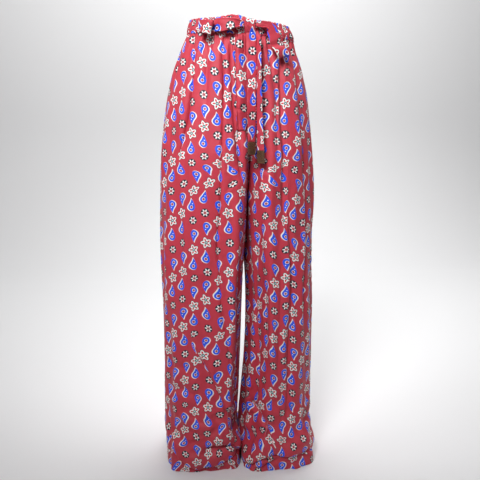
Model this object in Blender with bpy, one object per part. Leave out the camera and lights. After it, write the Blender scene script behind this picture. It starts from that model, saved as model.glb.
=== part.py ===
"""Wide-leg pyjama trousers, hollow and standing as worn, with a gathered waistband, a mock fly and a belt
tied in a bow.

Metres, +Z up, the front faces -Y and the wearer's left is +X. The origin is the centre of the waist ring,
inside the waistband, where the wearer's waist holds the garment.

The cloth follows half the garment's outline at each height: a half ellipse on the body, which turns into a
whole leg tube below the crotch. Folds push the outline in or out. Every panel is a wall under that surface,
and what lies on a panel is made from the same points, moved out.
"""

from collections import namedtuple

import bpy
import numpy as np

# ---- driving sizes ----
WALL = 0.0015  # panel cloth, thicker than real silk so that it is a solid wall
BAND_WALL = 0.003  # waistband: two layers with the elastic between them
FLY_WALL = 0.0012
FLY_COLUMNS = (0.0, 0.011, 0.022, 0.033)  # distances of the front panels' last columns from the centre seam
FLY_FOOT_Z = -0.210
TIE_WALL = 0.0022  # belt: a flat tube of the same silk
SEAM = 0.0004  # clear gap between neighbouring pieces
BAND_TOP_Z = 0.0125
BAND_FOOT_Z = -0.0175
BAND_RIPPLES = 22  # gathers round the waistband
BAND_RIPPLE_DEPTH = 0.0007
WAIST_SLANT = -0.060  # the waist drops towards the wearer's left
SLANT_ENDS_Z = -0.24
CROTCH_Z = -0.298
FLOOR_Z = -0.991
TIE_WIDTH = 0.0195
TIP_WIDTH = 0.0198
TIP_THICKNESS = 0.0040
TIP_LENGTH = 0.0265

# ---- outline of the body, one row for each height ----
Body = namedtuple("Body", "z wearer_right wearer_left front back")
BODY = [
    Body(0.016, -0.1020, 0.1100, -0.085, 0.090),
    Body(-0.018, -0.1105, 0.1245, -0.088, 0.094),
    Body(-0.040, -0.1205, 0.1300, -0.093, 0.100),
    Body(-0.061, -0.1290, 0.1385, -0.098, 0.106),
    Body(-0.104, -0.1450, 0.1505, -0.104, 0.116),
    Body(-0.147, -0.1555, 0.1590, -0.108, 0.122),
    Body(-0.191, -0.1625, 0.1620, -0.110, 0.125),
    Body(-0.257, -0.1705, 0.1680, -0.110, 0.121),
    Body(-0.371, -0.1750, 0.1730, -0.108, 0.115),
]

# ---- outline of the legs. mid is the plane between them, gap the distance from it to each leg, a ridge is
# where a leg's front stands out most. A larger square makes the leg's section boxier: right_square and
# left_square shape the inner side of each leg, outer_square the outer sides ----
Legs = namedtuple(
    "Legs",
    "z mid gap right_out right_ridge left_ridge left_out right_front left_front back "
    "right_square left_square outer_square",
)
LEGS = [
    Legs(0.016, 0.011, 0.0002, -0.1020, -0.022, 0.044, 0.1100, -0.085, -0.085, 0.090, 3.0, 3.0, 2.0),
    Legs(-0.120, 0.014, 0.0002, -0.1500, -0.026, 0.052, 0.1540, -0.106, -0.106, 0.118, 3.0, 3.0, 2.0),
    Legs(-0.200, 0.016, 0.0002, -0.1640, -0.025, 0.056, 0.1630, -0.110, -0.110, 0.125, 3.2, 3.0, 2.0),
    Legs(-0.260, 0.017, 0.0002, -0.1705, -0.022, 0.058, 0.1680, -0.111, -0.111, 0.121, 3.2, 2.8, 2.0),
    Legs(-0.370, 0.014, 0.0010, -0.1750, -0.023, 0.057, 0.1730, -0.108, -0.108, 0.115, 3.0, 2.2, 2.0),
    Legs(-0.490, 0.0125, 0.0012, -0.1775, -0.023, 0.060, 0.1735, -0.106, -0.106, 0.112, 1.8, 1.5, 2.0),
    Legs(-0.560, 0.0138, 0.0034, -0.1765, -0.024, 0.063, 0.1740, -0.105, -0.105, 0.110, 1.35, 1.2, 2.0),
    Legs(-0.640, 0.0136, 0.0044, -0.1755, -0.025, 0.064, 0.1755, -0.105, -0.105, 0.110, 1.15, 1.1, 2.0),
    Legs(-0.740, 0.0102, 0.0040, -0.1750, -0.029, 0.061, 0.1785, -0.105, -0.105, 0.110, 1.1, 1.05, 2.0),
    Legs(-0.840, 0.0040, 0.0016, -0.1770, -0.035, 0.055, 0.1780, -0.106, -0.106, 0.110, 1.1, 1.05, 2.1),
    Legs(-0.900, 0.0000, 0.0008, -0.1765, -0.040, 0.050, 0.1775, -0.107, -0.111, 0.112, 1.2, 1.15, 2.4),
    Legs(-0.945, 0.0000, 0.0014, -0.1750, -0.041, 0.047, 0.1750, -0.102, -0.115, 0.114, 2.1, 1.9, 3.6),
    Legs(-0.995, 0.0000, 0.0014, -0.1725, -0.042, 0.045, 0.1740, -0.097, -0.116, 0.115, 4.5, 4.5, 5.5),
]

# ---- the crotch seam: how much of the way from the front (or back) to the inseam it has run ----
CrotchSeam = namedtuple("CrotchSeam", "z share")
CROTCH_SEAM = [
    CrotchSeam(0.016, 0.0),
    CrotchSeam(-0.100, 0.0),
    CrotchSeam(-0.180, 0.08),
    CrotchSeam(-0.230, 0.24),
    CrotchSeam(-0.265, 0.50),
    CrotchSeam(-0.285, 0.78),
    CrotchSeam(CROTCH_Z, 1.0),
    CrotchSeam(-0.400, 1.0),
    CrotchSeam(-0.995, 1.0),
]

# ---- long folds. A depth below zero is a trough, and bow is how far the middle swings sideways ----
Fold = namedtuple("Fold", "x_top z_top x_foot z_foot depth half_width bow")
FRONT_FOLDS = [
    Fold(-0.101, -0.005, -0.166, -0.330, -0.0065, 0.014, -0.012),  # beside the wearer's right hip
    Fold(-0.075, -0.005, -0.074, -0.170, -0.0035, 0.013, 0.000),
    Fold(-0.046, -0.005, -0.034, -0.700, -0.0050, 0.015, -0.022),
    Fold(-0.028, -0.005, -0.008, -0.300, -0.0055, 0.012, -0.006),  # beside the fly
    Fold(-0.098, -0.100, -0.100, -0.600, 0.0050, 0.040, 0.000),
    Fold(0.034, -0.005, 0.040, -0.300, -0.0060, 0.012, 0.000),
    Fold(0.054, -0.010, 0.062, -0.860, 0.0045, 0.015, 0.000),
    Fold(0.080, -0.020, 0.092, -0.900, -0.0060, 0.013, 0.002),
    Fold(0.112, -0.030, 0.140, -0.480, -0.0035, 0.014, -0.004),
    Fold(-0.116, -0.640, -0.046, -0.870, -0.0050, 0.014, 0.000),
    Fold(-0.135, -0.560, -0.130, -0.900, -0.0035, 0.016, 0.000),
    Fold(0.138, -0.360, 0.132, -0.920, 0.0040, 0.018, 0.000),
]
BACK_FOLDS = [
    Fold(-0.088, -0.005, -0.122, -0.440, -0.0055, 0.015, 0.000),
    Fold(-0.048, -0.005, -0.062, -0.620, -0.0055, 0.015, 0.006),
    Fold(-0.018, -0.005, -0.020, -0.170, -0.0035, 0.012, 0.000),
    Fold(-0.028, -0.170, -0.040, -0.880, 0.0050, 0.020, 0.000),
    Fold(0.044, -0.005, 0.060, -0.340, -0.0055, 0.014, 0.000),
    Fold(0.060, -0.240, 0.070, -0.900, 0.0050, 0.018, 0.000),
    Fold(0.090, -0.005, 0.130, -0.540, -0.0055, 0.016, -0.008),
    Fold(-0.126, -0.480, -0.098, -0.920, -0.0055, 0.016, 0.000),
    Fold(0.100, -0.560, 0.110, -0.920, -0.0050, 0.016, 0.000),
]

# ---- rolls where the legs meet the floor, each all round one leg. The cloth swells over the roll's line and
# tucks in at it, at the heights given for the outer side, the front, the inner side and the back ----
Roll = namedtuple("Roll", "side z_outer z_front z_inner z_back swell tuck half_height")
ROLLS = [
    Roll(-1, -0.922, -0.974, -0.952, -0.958, 0.0035, 0.0085, 0.017),
    Roll(-1, -0.862, -0.892, -0.916, -0.900, 0.0020, 0.0040, 0.020),
    Roll(1, -0.952, -0.946, -0.972, -0.964, 0.0040, 0.0090, 0.017),
    Roll(1, -0.895, -0.878, -0.915, -0.905, 0.0015, 0.0035, 0.022),
]
ROLL_AT_SEAM = 0.35  # strength of a roll at the side seam

# ---- the belt. x is along the waist ring, lift is the distance out from it, and the width columns point
# from a strand's lower edge to its upper edge: along the ring, out from it and up the cloth ----
Strand = namedtuple("Strand", "x z lift width width_along width_out width_up")
LOOP_RIGHT = [
    Strand(-0.0022, -0.001, 0.0075, 0.0130, 0.0, 0.1, 1.0),
    Strand(-0.0150, 0.002, 0.0135, 0.0190, 0.0, 0.0, 1.0),
    Strand(-0.0350, 0.003, 0.0160, 0.0215, 0.0, -0.1, 1.0),
    Strand(-0.0540, -0.002, 0.0185, 0.0225, -0.2, -0.5, 0.8),
    Strand(-0.0690, -0.009, 0.0205, 0.0255, -0.1, -0.3, 0.9),
    Strand(-0.0820, -0.006, 0.0165, 0.0220, -0.1, -0.2, 1.0),
    Strand(-0.0850, -0.005, 0.0115, 0.0220, -0.1, -0.15, 1.0),
    Strand(-0.0770, -0.004, 0.0082, 0.0225, -0.1, -0.1, 1.0),
    Strand(-0.0520, 0.002, 0.0066, 0.0205, 0.0, 0.0, 1.0),
    Strand(-0.0280, 0.006, 0.0050, 0.0195, 0.0, 0.0, 1.0),
    Strand(-0.0028, 0.005, 0.0044, 0.0110, 0.0, 0.0, 1.0),
]
LOOP_LEFT = [
    Strand(0.0233, -0.001, 0.0085, 0.0125, 0.0, 0.0, 1.0),
    Strand(0.0370, 0.000, 0.0135, 0.0150, 0.1, 0.0, 1.0),
    Strand(0.0490, -0.004, 0.0165, 0.0180, 0.5, 0.0, 0.9),
    Strand(0.0560, -0.018, 0.0172, 0.0250, 0.9, 0.0, 0.5),
    Strand(0.0615, -0.035, 0.0168, 0.0270, 0.95, 0.0, 0.35),
    Strand(0.0680, -0.051, 0.0178, 0.0265, 0.95, 0.0, 0.30),
    Strand(0.0745, -0.0585, 0.0138, 0.0255, 0.95, 0.0, 0.30),
    Strand(0.0760, -0.052, 0.0090, 0.0240, 0.95, 0.0, 0.30),
    Strand(0.0720, -0.034, 0.0068, 0.0225, 0.95, 0.0, 0.40),
    Strand(0.0650, -0.014, 0.0062, 0.0205, 0.8, 0.0, 0.6),
    Strand(0.0500, -0.001, 0.0055, 0.0180, 0.2, 0.0, 1.0),
    Strand(0.0236, 0.002, 0.0045, 0.0110, 0.0, 0.0, 1.0),
]
TAIL_A = [
    Strand(0.0130, -0.0168, 0.0088, 0.0180, 1.0, 0.0, 0.0),
    Strand(0.0130, -0.0330, 0.0074, 0.0185, 1.0, 0.0, 0.0),
    Strand(0.0130, -0.0650, 0.0056, TIE_WIDTH, 1.0, 0.0, 0.0),
    Strand(0.0130, -0.1200, 0.0050, TIE_WIDTH, 1.0, 0.0, 0.0),
    Strand(0.0136, -0.1800, 0.0050, TIE_WIDTH, 1.0, 0.0, 0.0),
    Strand(0.0140, -0.2340, 0.0050, TIE_WIDTH, 1.0, 0.0, 0.0),
]
TAIL_B = [
    Strand(0.0262, -0.0125, 0.0070, 0.0070, 1.0, 0.0, 0.0),
    Strand(0.0275, -0.0290, 0.0090, 0.0130, 0.6, 0.8, 0.0),
    Strand(0.0270, -0.0620, 0.0112, TIE_WIDTH, 0.3, 0.95, 0.0),
    Strand(0.0272, -0.1300, 0.0112, TIE_WIDTH, 0.3, 0.95, 0.0),
    Strand(0.0288, -0.2000, 0.0112, TIE_WIDTH, 0.42, 0.9, 0.0),
    Strand(0.0308, -0.2520, 0.0108, TIE_WIDTH, 0.55, 0.83, 0.0),
]
# the knot: the belt's wrap over the middle of the bow, from its lower edge up
Wrap = namedtuple("Wrap", "z right_edge left_edge front_lift")
KNOT = [
    Wrap(-0.0157, 0.0034, 0.0222, 0.0108),
    Wrap(-0.0120, 0.0014, 0.0226, 0.0138),
    Wrap(-0.0060, -0.0006, 0.0230, 0.0168),
    Wrap(0.0000, -0.0010, 0.0230, 0.0178),
    Wrap(0.0060, -0.0002, 0.0224, 0.0162),
    Wrap(0.0116, 0.0014, 0.0210, 0.0125),
]
KNOT_BACK_LIFT = 0.0013  # clear of the waistband's gathers

# ---- mesh grids ----
PANEL_ROWS_Z = [
    BAND_FOOT_Z - SEAM, -0.040, -0.070, -0.105, -0.145, -0.180, FLY_FOOT_Z, -0.235, -0.257, -0.275, -0.289,
    CROTCH_Z, -0.310, -0.345, -0.420, -0.510, -0.600, -0.690, -0.770, -0.835, -0.870, -0.895, -0.915, -0.935,
    -0.952, -0.970, FLOOR_Z,
]
FRONT_COLUMNS = 20
BACK_COLUMNS = 15
BAND_COLUMNS = 44
OUTLINE_POINTS = 220
LOOP_STEPS = 24
TAIL_STEPS = 12


def smooth(a, b, value):
    """0 at a, 1 at b, with a smooth run between them. a may be the larger."""
    t = np.clip((value - a) / (b - a), 0.0, 1.0)
    return t * t * (3.0 - 2.0 * t)


def through(knots, values, at):
    """A smooth curve through values at rising knots, read at one place."""
    slopes = np.gradient(values, knots, axis=0)
    i = int(np.clip(np.searchsorted(knots, at) - 1, 0, len(knots) - 2))
    step = knots[i + 1] - knots[i]
    t = float(np.clip((at - knots[i]) / step, 0.0, 1.0))
    from_start = (1 + 2 * t) * (1 - t) ** 2 * values[i] + t * (1 - t) ** 2 * step * slopes[i]
    return from_start + t * t * (3 - 2 * t) * values[i + 1] + t * t * (t - 1) * step * slopes[i + 1]


def at_height(table, column, z):
    """A column of an outline table at height z."""
    heights = np.array([row.z for row in reversed(table)])
    return through(heights, np.array([getattr(row, column) for row in reversed(table)]), z)


def body_outline(side, facing, z, t):
    """Half ellipse from the side seam (t = 0) to the centre front or back (t = 1)."""
    mid = at_height(LEGS, "mid", z)
    out = at_height(BODY, "wearer_left" if side > 0 else "wearer_right", z)
    depth = at_height(BODY, "back" if facing > 0 else "front", z)
    angle = t * np.pi / 2
    return np.stack([mid + (out - mid) * np.cos(angle), depth * np.sin(angle)], axis=1)


def leg_outline(side, facing, z, t, seam_share):
    """Part of a leg tube, from the side seam round to the crotch seam, or below the crotch to the inseam."""
    inner = at_height(LEGS, "mid", z) + side * at_height(LEGS, "gap", z)
    out = at_height(LEGS, "left_out" if side > 0 else "right_out", z)
    ridge = at_height(LEGS, "left_ridge" if side > 0 else "right_ridge", z)
    front, square = ("left_front", "left_square") if side > 0 else ("right_front", "right_square")
    depth = at_height(LEGS, "back" if facing > 0 else front, z)
    power, outer_power = (2.0 / at_height(LEGS, name, z) for name in (square, "outer_square"))
    angle = t * (np.pi - np.arcsin((1 - seam_share) ** (1 / power)))
    cosine, sine = np.cos(angle), np.sin(angle)
    outer_part = angle <= np.pi / 2
    outer_reach = np.abs(cosine) ** outer_power * (out - ridge)
    inner_reach = np.abs(cosine) ** power * (inner - ridge)
    x = ridge + np.where(outer_part, outer_reach, inner_reach)
    y = depth * np.abs(sine) ** np.where(outer_part, outer_power, power)
    return np.stack([x, y], axis=1)


def outline(side, facing, z):
    """Half the garment's outline at height z, from the side seam to its centre seam or inseam."""
    t = np.linspace(0.0, 1.0, OUTLINE_POINTS)
    share = float(np.clip(at_height(CROTCH_SEAM, "share", z), 0.0, 1.0)) if z > CROTCH_Z else 1.0
    leg = smooth(-0.10, -0.26, z)
    points = (1 - leg) * body_outline(side, facing, z, t) + leg * leg_outline(side, facing, z, t, share)
    edge_x = at_height(LEGS, "mid", z) + side * at_height(LEGS, "gap", z)
    edge_y = (1 - share) * at_height(BODY, "back" if facing > 0 else "front", max(z, BODY[-1].z))
    return points + (np.array([edge_x, edge_y]) - points[-1]) * smooth(0.6, 1.0, t)[:, None]


def run_along(points):
    """Distance along a line of points from its first."""
    return np.concatenate([[0.0], np.cumsum(np.linalg.norm(np.diff(points, axis=0), axis=1))])


def normals_of(points, side, facing):
    """Unit normals of an outline, pointing out of the garment."""
    tangent = np.gradient(points, axis=0)
    normal = np.stack([tangent[:, 1], -tangent[:, 0]], axis=1) * side * facing
    return normal / np.linalg.norm(normal, axis=1)[:, None]


def fold_push(points, normals, z, facing):
    """How far the long folds push each outline point out at height z."""
    push = np.zeros(len(points))
    for fold in FRONT_FOLDS if facing < 0 else BACK_FOLDS:
        u = (fold.z_top - z) / (fold.z_top - fold.z_foot)
        if not 0.0 < u < 1.0:
            continue
        x = fold.x_top + (fold.x_foot - fold.x_top) * u + fold.bow * 4 * u * (1 - u)
        ends = smooth(0.0, 0.10, u) * smooth(1.0, 0.75, u)
        push += fold.depth * ends * np.exp(-(((points[:, 0] - x) / fold.half_width) ** 2))
    return push * smooth(0.05, 0.40, facing * normals[:, 1])


def roll_push(share, z, side, facing):
    """Outward push and sag of the rolls above the floor. share runs from the side seam to the inseam."""
    out, sag = np.zeros(len(share)), np.zeros(len(share))
    for roll in ROLLS:
        if roll.side != side:
            continue
        middle = roll.z_back if facing > 0 else roll.z_front
        line = roll.z_outer + (middle - roll.z_outer) * smooth(0.0, 0.5, share)
        line += (roll.z_inner - middle) * smooth(0.5, 1.0, share)
        q = (z - line) / roll.half_height
        over = np.exp(-((q - 1.3) ** 2))
        out += roll.swell * over - roll.tuck * np.exp(-1.5 * q**2)
        sag -= 0.6 * roll.swell * np.exp(-((q - 0.9) ** 2))
    strength = (ROLL_AT_SEAM + (1 - ROLL_AT_SEAM) * smooth(0.0, 0.25, share)) * smooth(1.0, 0.72, share)
    return out * strength, sag * strength


def folded_outline(side, facing, z):
    """The outline at height z with its folds, how far each point sits over z, and the plain outline."""
    plain = outline(side, facing, z)
    normals = normals_of(plain, side, facing)
    share = run_along(plain) / run_along(plain)[-1]
    roll, sag = roll_push(share, z, side, facing)
    push = fold_push(plain, normals, z, facing) * (smooth(1.0, 0.80, share) if z < CROTCH_Z else 1.0)
    return plain + normals * (push + roll)[:, None], sag, plain


def slanted(x, z):
    """Height after the waist's slant, which fades out on the way to the hips."""
    return z + WAIST_SLANT * x * smooth(SLANT_ENDS_Z, -0.02, z)


def row_places(total, z, facing, columns):
    """Distances from the side seam of a row's columns. On the front the last few keep to the fly."""
    where = np.linspace(0.0, total, columns)
    if facing < 0:
        fixed = total - np.array(FLY_COLUMNS[::-1])
        rest = np.linspace(0.0, fixed[0], columns - len(fixed) + 1)[:-1]
        above = smooth(-0.400, FLY_FOOT_Z, z)
        where = above * np.concatenate([rest, fixed]) + (1 - above) * where
    return where


def apart(points, side, facing, z):
    """Keeps points half a seam away from the plane between the legs and from the side seams' plane."""
    mid = at_height(LEGS, "mid", z)
    points[:, 0] = mid + side * np.maximum(side * (points[:, 0] - mid), SEAM / 2)
    points[:, 1] = facing * np.maximum(facing * points[:, 1], SEAM / 2)
    points[:, 2] = np.maximum(points[:, 2], FLOOR_Z)
    return points


def cloth_row(side, facing, z, columns):
    """Points of the outer cloth along one row of a panel, from its side seam to its other edge."""
    points, sag, plain = folded_outline(side, facing, z)
    run = run_along(plain)
    where = row_places(run[-1], z, facing, columns)
    x = np.interp(where, run, points[:, 0])
    y = np.interp(where, run, points[:, 1])
    height = slanted(x, z) + np.interp(where, run, sag)
    return apart(np.stack([x, y, height], axis=1), side, facing, z)


def grid_normals(grid, outward):
    """Unit normals of a grid of points (rows, columns, xyz), on the side that outward points to."""
    normal = np.cross(np.gradient(grid, axis=1), np.gradient(grid, axis=0))
    normal /= np.linalg.norm(normal, axis=2)[:, :, None]
    return normal * np.sign((normal * outward).sum())


def mesh_object(name, points, faces, material):
    """A mesh object from a closed set of faces, turned to face outwards."""
    mesh = bpy.data.meshes.new(name)
    mesh.from_pydata([tuple(p) for p in points], [], faces)
    mesh.calc_loop_triangles()
    corners = np.array([[points[v] for v in triangle.vertices] for triangle in mesh.loop_triangles])
    if np.linalg.det(corners).sum() < 0:
        mesh.flip_normals()
    mesh.shade_smooth()
    mesh.set_sharp_from_angle(angle=0.7)
    mesh.materials.append(material)
    obj = bpy.data.objects.new(name, mesh)
    bpy.context.scene.collection.objects.link(obj)
    return obj


def wall_object(name, outer, inner, material, ring=False):
    """A closed wall between two grids of points. A ring's last column meets its first."""
    rows, columns = outer.shape[:2]
    layer = rows * columns

    def at(i, j, back=0):
        return back * layer + i * columns + j % columns

    faces = []
    spans = columns if ring else columns - 1
    for i in range(rows - 1):
        for j in range(spans):
            faces.append((at(i, j), at(i, j + 1), at(i + 1, j + 1), at(i + 1, j)))
            faces.append((at(i, j, 1), at(i + 1, j, 1), at(i + 1, j + 1, 1), at(i, j + 1, 1)))
    for j in range(spans):
        faces.append((at(0, j + 1), at(0, j), at(0, j, 1), at(0, j + 1, 1)))
        faces.append((at(rows - 1, j), at(rows - 1, j + 1), at(rows - 1, j + 1, 1), at(rows - 1, j, 1)))
    if not ring:
        last = columns - 1
        for i in range(rows - 1):
            faces.append((at(i, 0), at(i + 1, 0), at(i + 1, 0, 1), at(i, 0, 1)))
            faces.append((at(i + 1, last), at(i, last), at(i, last, 1), at(i + 1, last, 1)))
    points = np.concatenate([outer.reshape(-1, 3), inner.reshape(-1, 3)])
    return mesh_object(name, points, faces, material)


def tube_object(name, rings, material):
    """A closed tube through rings of points (rings, points, xyz), with a flat face on each end."""
    count, around = rings.shape[:2]
    faces = [tuple(range(around)), tuple(reversed(range((count - 1) * around, count * around)))]
    for i in range(count - 1):
        for j in range(around):
            k = (j + 1) % around
            faces.append((i * around + k, i * around + j, (i + 1) * around + j, (i + 1) * around + k))
    return mesh_object(name, rings.reshape(-1, 3), faces, material)


def material(name, colour, roughness):
    made = bpy.data.materials.new(name)
    made.use_nodes = True
    shader = made.node_tree.nodes["Principled BSDF"]
    shader.inputs["Base Color"].default_value = (*colour, 1.0)
    shader.inputs["Roughness"].default_value = roughness
    shader.inputs["Metallic"].default_value = 0.0
    return made


def panel_grid(side, facing):
    """Outer points of a panel (rows, columns, xyz), from the waistband to the hem."""
    columns = FRONT_COLUMNS if facing < 0 else BACK_COLUMNS
    return np.array([cloth_row(side, facing, z, columns) for z in PANEL_ROWS_Z])


def leg_panel(name, side, facing, cloth):
    """A front or back panel, a wall under its outer points."""
    outer = panel_grid(side, facing)
    inner = outer - grid_normals(outer, np.array([side, facing, 0.0])) * WALL
    for row, z in zip(inner, PANEL_ROWS_Z):
        apart(row, side, facing, z)
    inner[0, :, 2] = outer[0, :, 2]
    inner[-1, :, 2] = outer[-1, :, 2]
    return wall_object(name, outer, inner, cloth)


def band_ring(z, offset):
    """The waist ring at height z, anticlockwise from the wearer's left side, moved out by offset."""
    angle = np.linspace(0.0, 2 * np.pi, BAND_COLUMNS, endpoint=False)
    mid = at_height(LEGS, "mid", z)
    out = np.where(
        np.cos(angle) > 0, at_height(BODY, "wearer_left", z) - mid, mid - at_height(BODY, "wearer_right", z)
    )
    depth = np.where(np.sin(angle) > 0, at_height(BODY, "back", z), -at_height(BODY, "front", z))
    offset = offset - BAND_RIPPLE_DEPTH * (1 + np.cos(BAND_RIPPLES * angle))
    x = mid + (out + offset) * np.cos(angle)
    y = (depth + offset) * np.sin(angle)
    return np.stack([x, y, slanted(x, z)], axis=1)


def waistband(cloth):
    """The gathered band: rounded top and bottom edges, fuller half way up."""
    heights = BAND_TOP_Z + (BAND_FOOT_Z - BAND_TOP_Z) * np.array([0.0, 0.2, 0.5, 0.8, 1.0])
    fullness = np.array([-0.0006, 0.0006, 0.0008, 0.0006, 0.0])
    outer = np.array([band_ring(z, full) for z, full in zip(heights, fullness)])
    inner = np.array([band_ring(z, -BAND_WALL) for z in heights])
    inner[:, :, 2] = outer[:, :, 2]
    return wall_object("waistband", outer, inner, cloth, ring=True)


def fly_placket(cloth):
    """The mock fly: a strip on the right front panel beside the centre seam, from the panel's own points."""
    rows = PANEL_ROWS_Z.index(FLY_FOOT_Z) + 1
    grid = panel_grid(-1, -1)
    normals = grid_normals(grid, np.array([0.0, -1.0, 0.0]))
    grid = grid[:rows, -len(FLY_COLUMNS) :]
    normals = normals[:rows, -len(FLY_COLUMNS) :]
    inner = grid + normals * SEAM
    outer = grid + normals * (SEAM + FLY_WALL)
    inner[0, :, 2] = outer[0, :, 2] = grid[0, :, 2]
    return wall_object("fly_placket", outer, inner, cloth)


def on_ring(x, z):
    """The point at x on the garment's plain front outline at height z."""
    side = 1 if x > at_height(LEGS, "mid", z) else -1
    points = body_outline(side, -1, min(max(z, BODY[-1].z), BODY[0].z), np.linspace(0.0, 1.0, OUTLINE_POINTS))
    order = np.argsort(points[:, 0])
    return np.array([x, np.interp(x, points[order, 0], points[order, 1]), slanted(x, z)])


def ring_frame(x, z):
    """A point on the plain front outline with the directions along the ring, out from it and up the cloth."""
    nearby = 0.002
    along = on_ring(x + nearby, z) - on_ring(x - nearby, z)
    along /= np.linalg.norm(along)
    up = on_ring(x, z + nearby) - on_ring(x, z - nearby)
    out = np.cross(along, up)
    out /= np.linalg.norm(out)
    return on_ring(x, z), along, out, np.cross(out, along)


def strand_rings(strands, steps):
    """Rings of eight points along a strand of the belt, flat with thin rounded edges."""
    centres, ups = [], []
    for row in strands:
        point, along, out, up = ring_frame(row.x, row.z)
        centres.append(point + out * row.lift)
        width_way = along * row.width_along + out * row.width_out + up * row.width_up
        ups.append(width_way / np.linalg.norm(width_way))
    centres, ups = np.array(centres), np.array(ups)
    widths = np.array([row.width for row in strands])
    knots = run_along(centres)
    distances = np.linspace(0.0, knots[-1], steps)
    path = np.array([through(knots, centres, s) for s in distances])
    tangent = np.gradient(path, axis=0)
    tangent /= np.linalg.norm(tangent, axis=1)[:, None]
    return np.array(
        [
            flat_section(centre, forward, through(knots, ups, s), through(knots, widths, s), TIE_WALL)
            for s, centre, forward in zip(distances, path, tangent)
        ]
    )


def flat_section(centre, forward, width_way, width, thickness):
    """Eight points round a flat strip's cross-section, square to the way forward."""
    width_way = width_way - forward * width_way.dot(forward)
    width_way /= np.linalg.norm(width_way)
    face = np.cross(forward, width_way)
    edge, corner = 0.3, 0.85
    upper = [(-1, edge), (-corner, 0.5), (corner, 0.5), (1, edge)]
    corners = upper + [(-w, -t) for w, t in upper]
    return [centre + width_way * w * width / 2 + face * t * thickness for w, t in corners]


def knot(cloth):
    """The wrap over the middle of the bow, through squarish rings."""
    angle = np.linspace(0.0, 2 * np.pi, 16, endpoint=False)
    c, s = np.cos(angle), np.sin(angle)
    round_x, round_y = np.sign(c) * np.abs(c) ** 0.6, np.sign(s) * np.abs(s) ** 0.6
    rings = []
    for row in KNOT:
        middle = (row.right_edge + row.left_edge) / 2
        point, along, out, _ = ring_frame(middle, row.z)
        centre = point + out * (KNOT_BACK_LIFT + row.front_lift) / 2
        half_width = (row.left_edge - row.right_edge) / 2
        half_depth = (row.front_lift - KNOT_BACK_LIFT) / 2
        ring = centre + np.outer(round_x * half_width, along) - np.outer(round_y * half_depth, out)
        rings.append(ring)
    return tube_object("bow_knot", np.array(rings), cloth)


def tip(name, tail_rings, leather):
    """A flat leather sleeve that goes on from the end of a tail."""
    last, before = tail_rings[-1], tail_rings[-2]
    end = last.mean(axis=0)
    down = end - before.mean(axis=0)
    down /= np.linalg.norm(down)
    rings = []
    for reach, size in ((0.0, 0.94), (0.04, 1.0), (0.96, 1.0), (1.0, 0.94)):
        middle = end + down * (SEAM + reach * TIP_LENGTH)
        rings.append(flat_section(middle, down, last[2] - last[1], TIP_WIDTH * size, TIP_THICKNESS * size))
    return tube_object(name, np.array(rings), leather)


def main():
    for obj in list(bpy.data.objects):
        bpy.data.objects.remove(obj)
    silk = material("silk_twill", (0.55, 0.07, 0.10), 0.45)
    leather = material("brown_leather", (0.13, 0.07, 0.03), 0.5)
    for side, word in ((-1, "right"), (1, "left")):
        leg_panel("front_" + word, side, -1, silk)
        leg_panel("back_" + word, side, 1, silk)
    waistband(silk)
    fly_placket(silk)
    knot(silk)
    for name, strands in (("bow_loop_right", LOOP_RIGHT), ("bow_loop_left", LOOP_LEFT)):
        tube_object(name, strand_rings(strands, LOOP_STEPS), silk)
    for letter, strands in (("a", TAIL_A), ("b", TAIL_B)):
        rings = strand_rings(strands, TAIL_STEPS)
        tube_object("tie_tail_" + letter, rings, silk)
        tip("tip_" + letter, rings, leather)


main()
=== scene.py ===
"""Wide-leg pyjama trousers in printed crimson silk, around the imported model: the cloth with its gathers, its
folds and its print, the belt tied in a bow, the leather tips and the stitching.

Metres, +Z up, the front faces -Y and the wearer's left is +X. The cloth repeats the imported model's outline on
a finer grid. Every fold is a path over a panel, given by places (x, z) on the garment's front or back.
"""

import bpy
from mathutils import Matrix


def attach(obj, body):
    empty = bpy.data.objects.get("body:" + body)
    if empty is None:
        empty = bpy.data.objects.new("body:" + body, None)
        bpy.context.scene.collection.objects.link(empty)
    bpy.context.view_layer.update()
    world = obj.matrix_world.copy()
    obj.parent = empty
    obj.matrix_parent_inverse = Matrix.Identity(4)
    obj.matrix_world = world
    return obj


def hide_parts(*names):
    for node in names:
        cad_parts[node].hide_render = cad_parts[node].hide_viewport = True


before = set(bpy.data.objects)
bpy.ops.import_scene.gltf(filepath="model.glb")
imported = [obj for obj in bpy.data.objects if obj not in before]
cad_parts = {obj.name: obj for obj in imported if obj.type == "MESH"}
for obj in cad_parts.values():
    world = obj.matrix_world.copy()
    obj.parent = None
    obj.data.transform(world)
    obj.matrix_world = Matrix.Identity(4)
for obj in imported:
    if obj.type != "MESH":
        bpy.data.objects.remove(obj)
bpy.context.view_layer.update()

import math
from collections import namedtuple
from functools import partialmethod

import bpy
import numpy as np

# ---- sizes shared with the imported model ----
SEAM = 0.0004
BAND_TOP_Z = 0.0125
BAND_FOOT_Z = -0.0175
WAIST_SLANT = -0.060
SLANT_ENDS_Z = -0.24
CROTCH_Z = -0.298
FLOOR_Z = -0.991
FLY_WIDTH = 0.033
FLY_FOOT_Z = -0.210
BAND_WALL = 0.003

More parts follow.
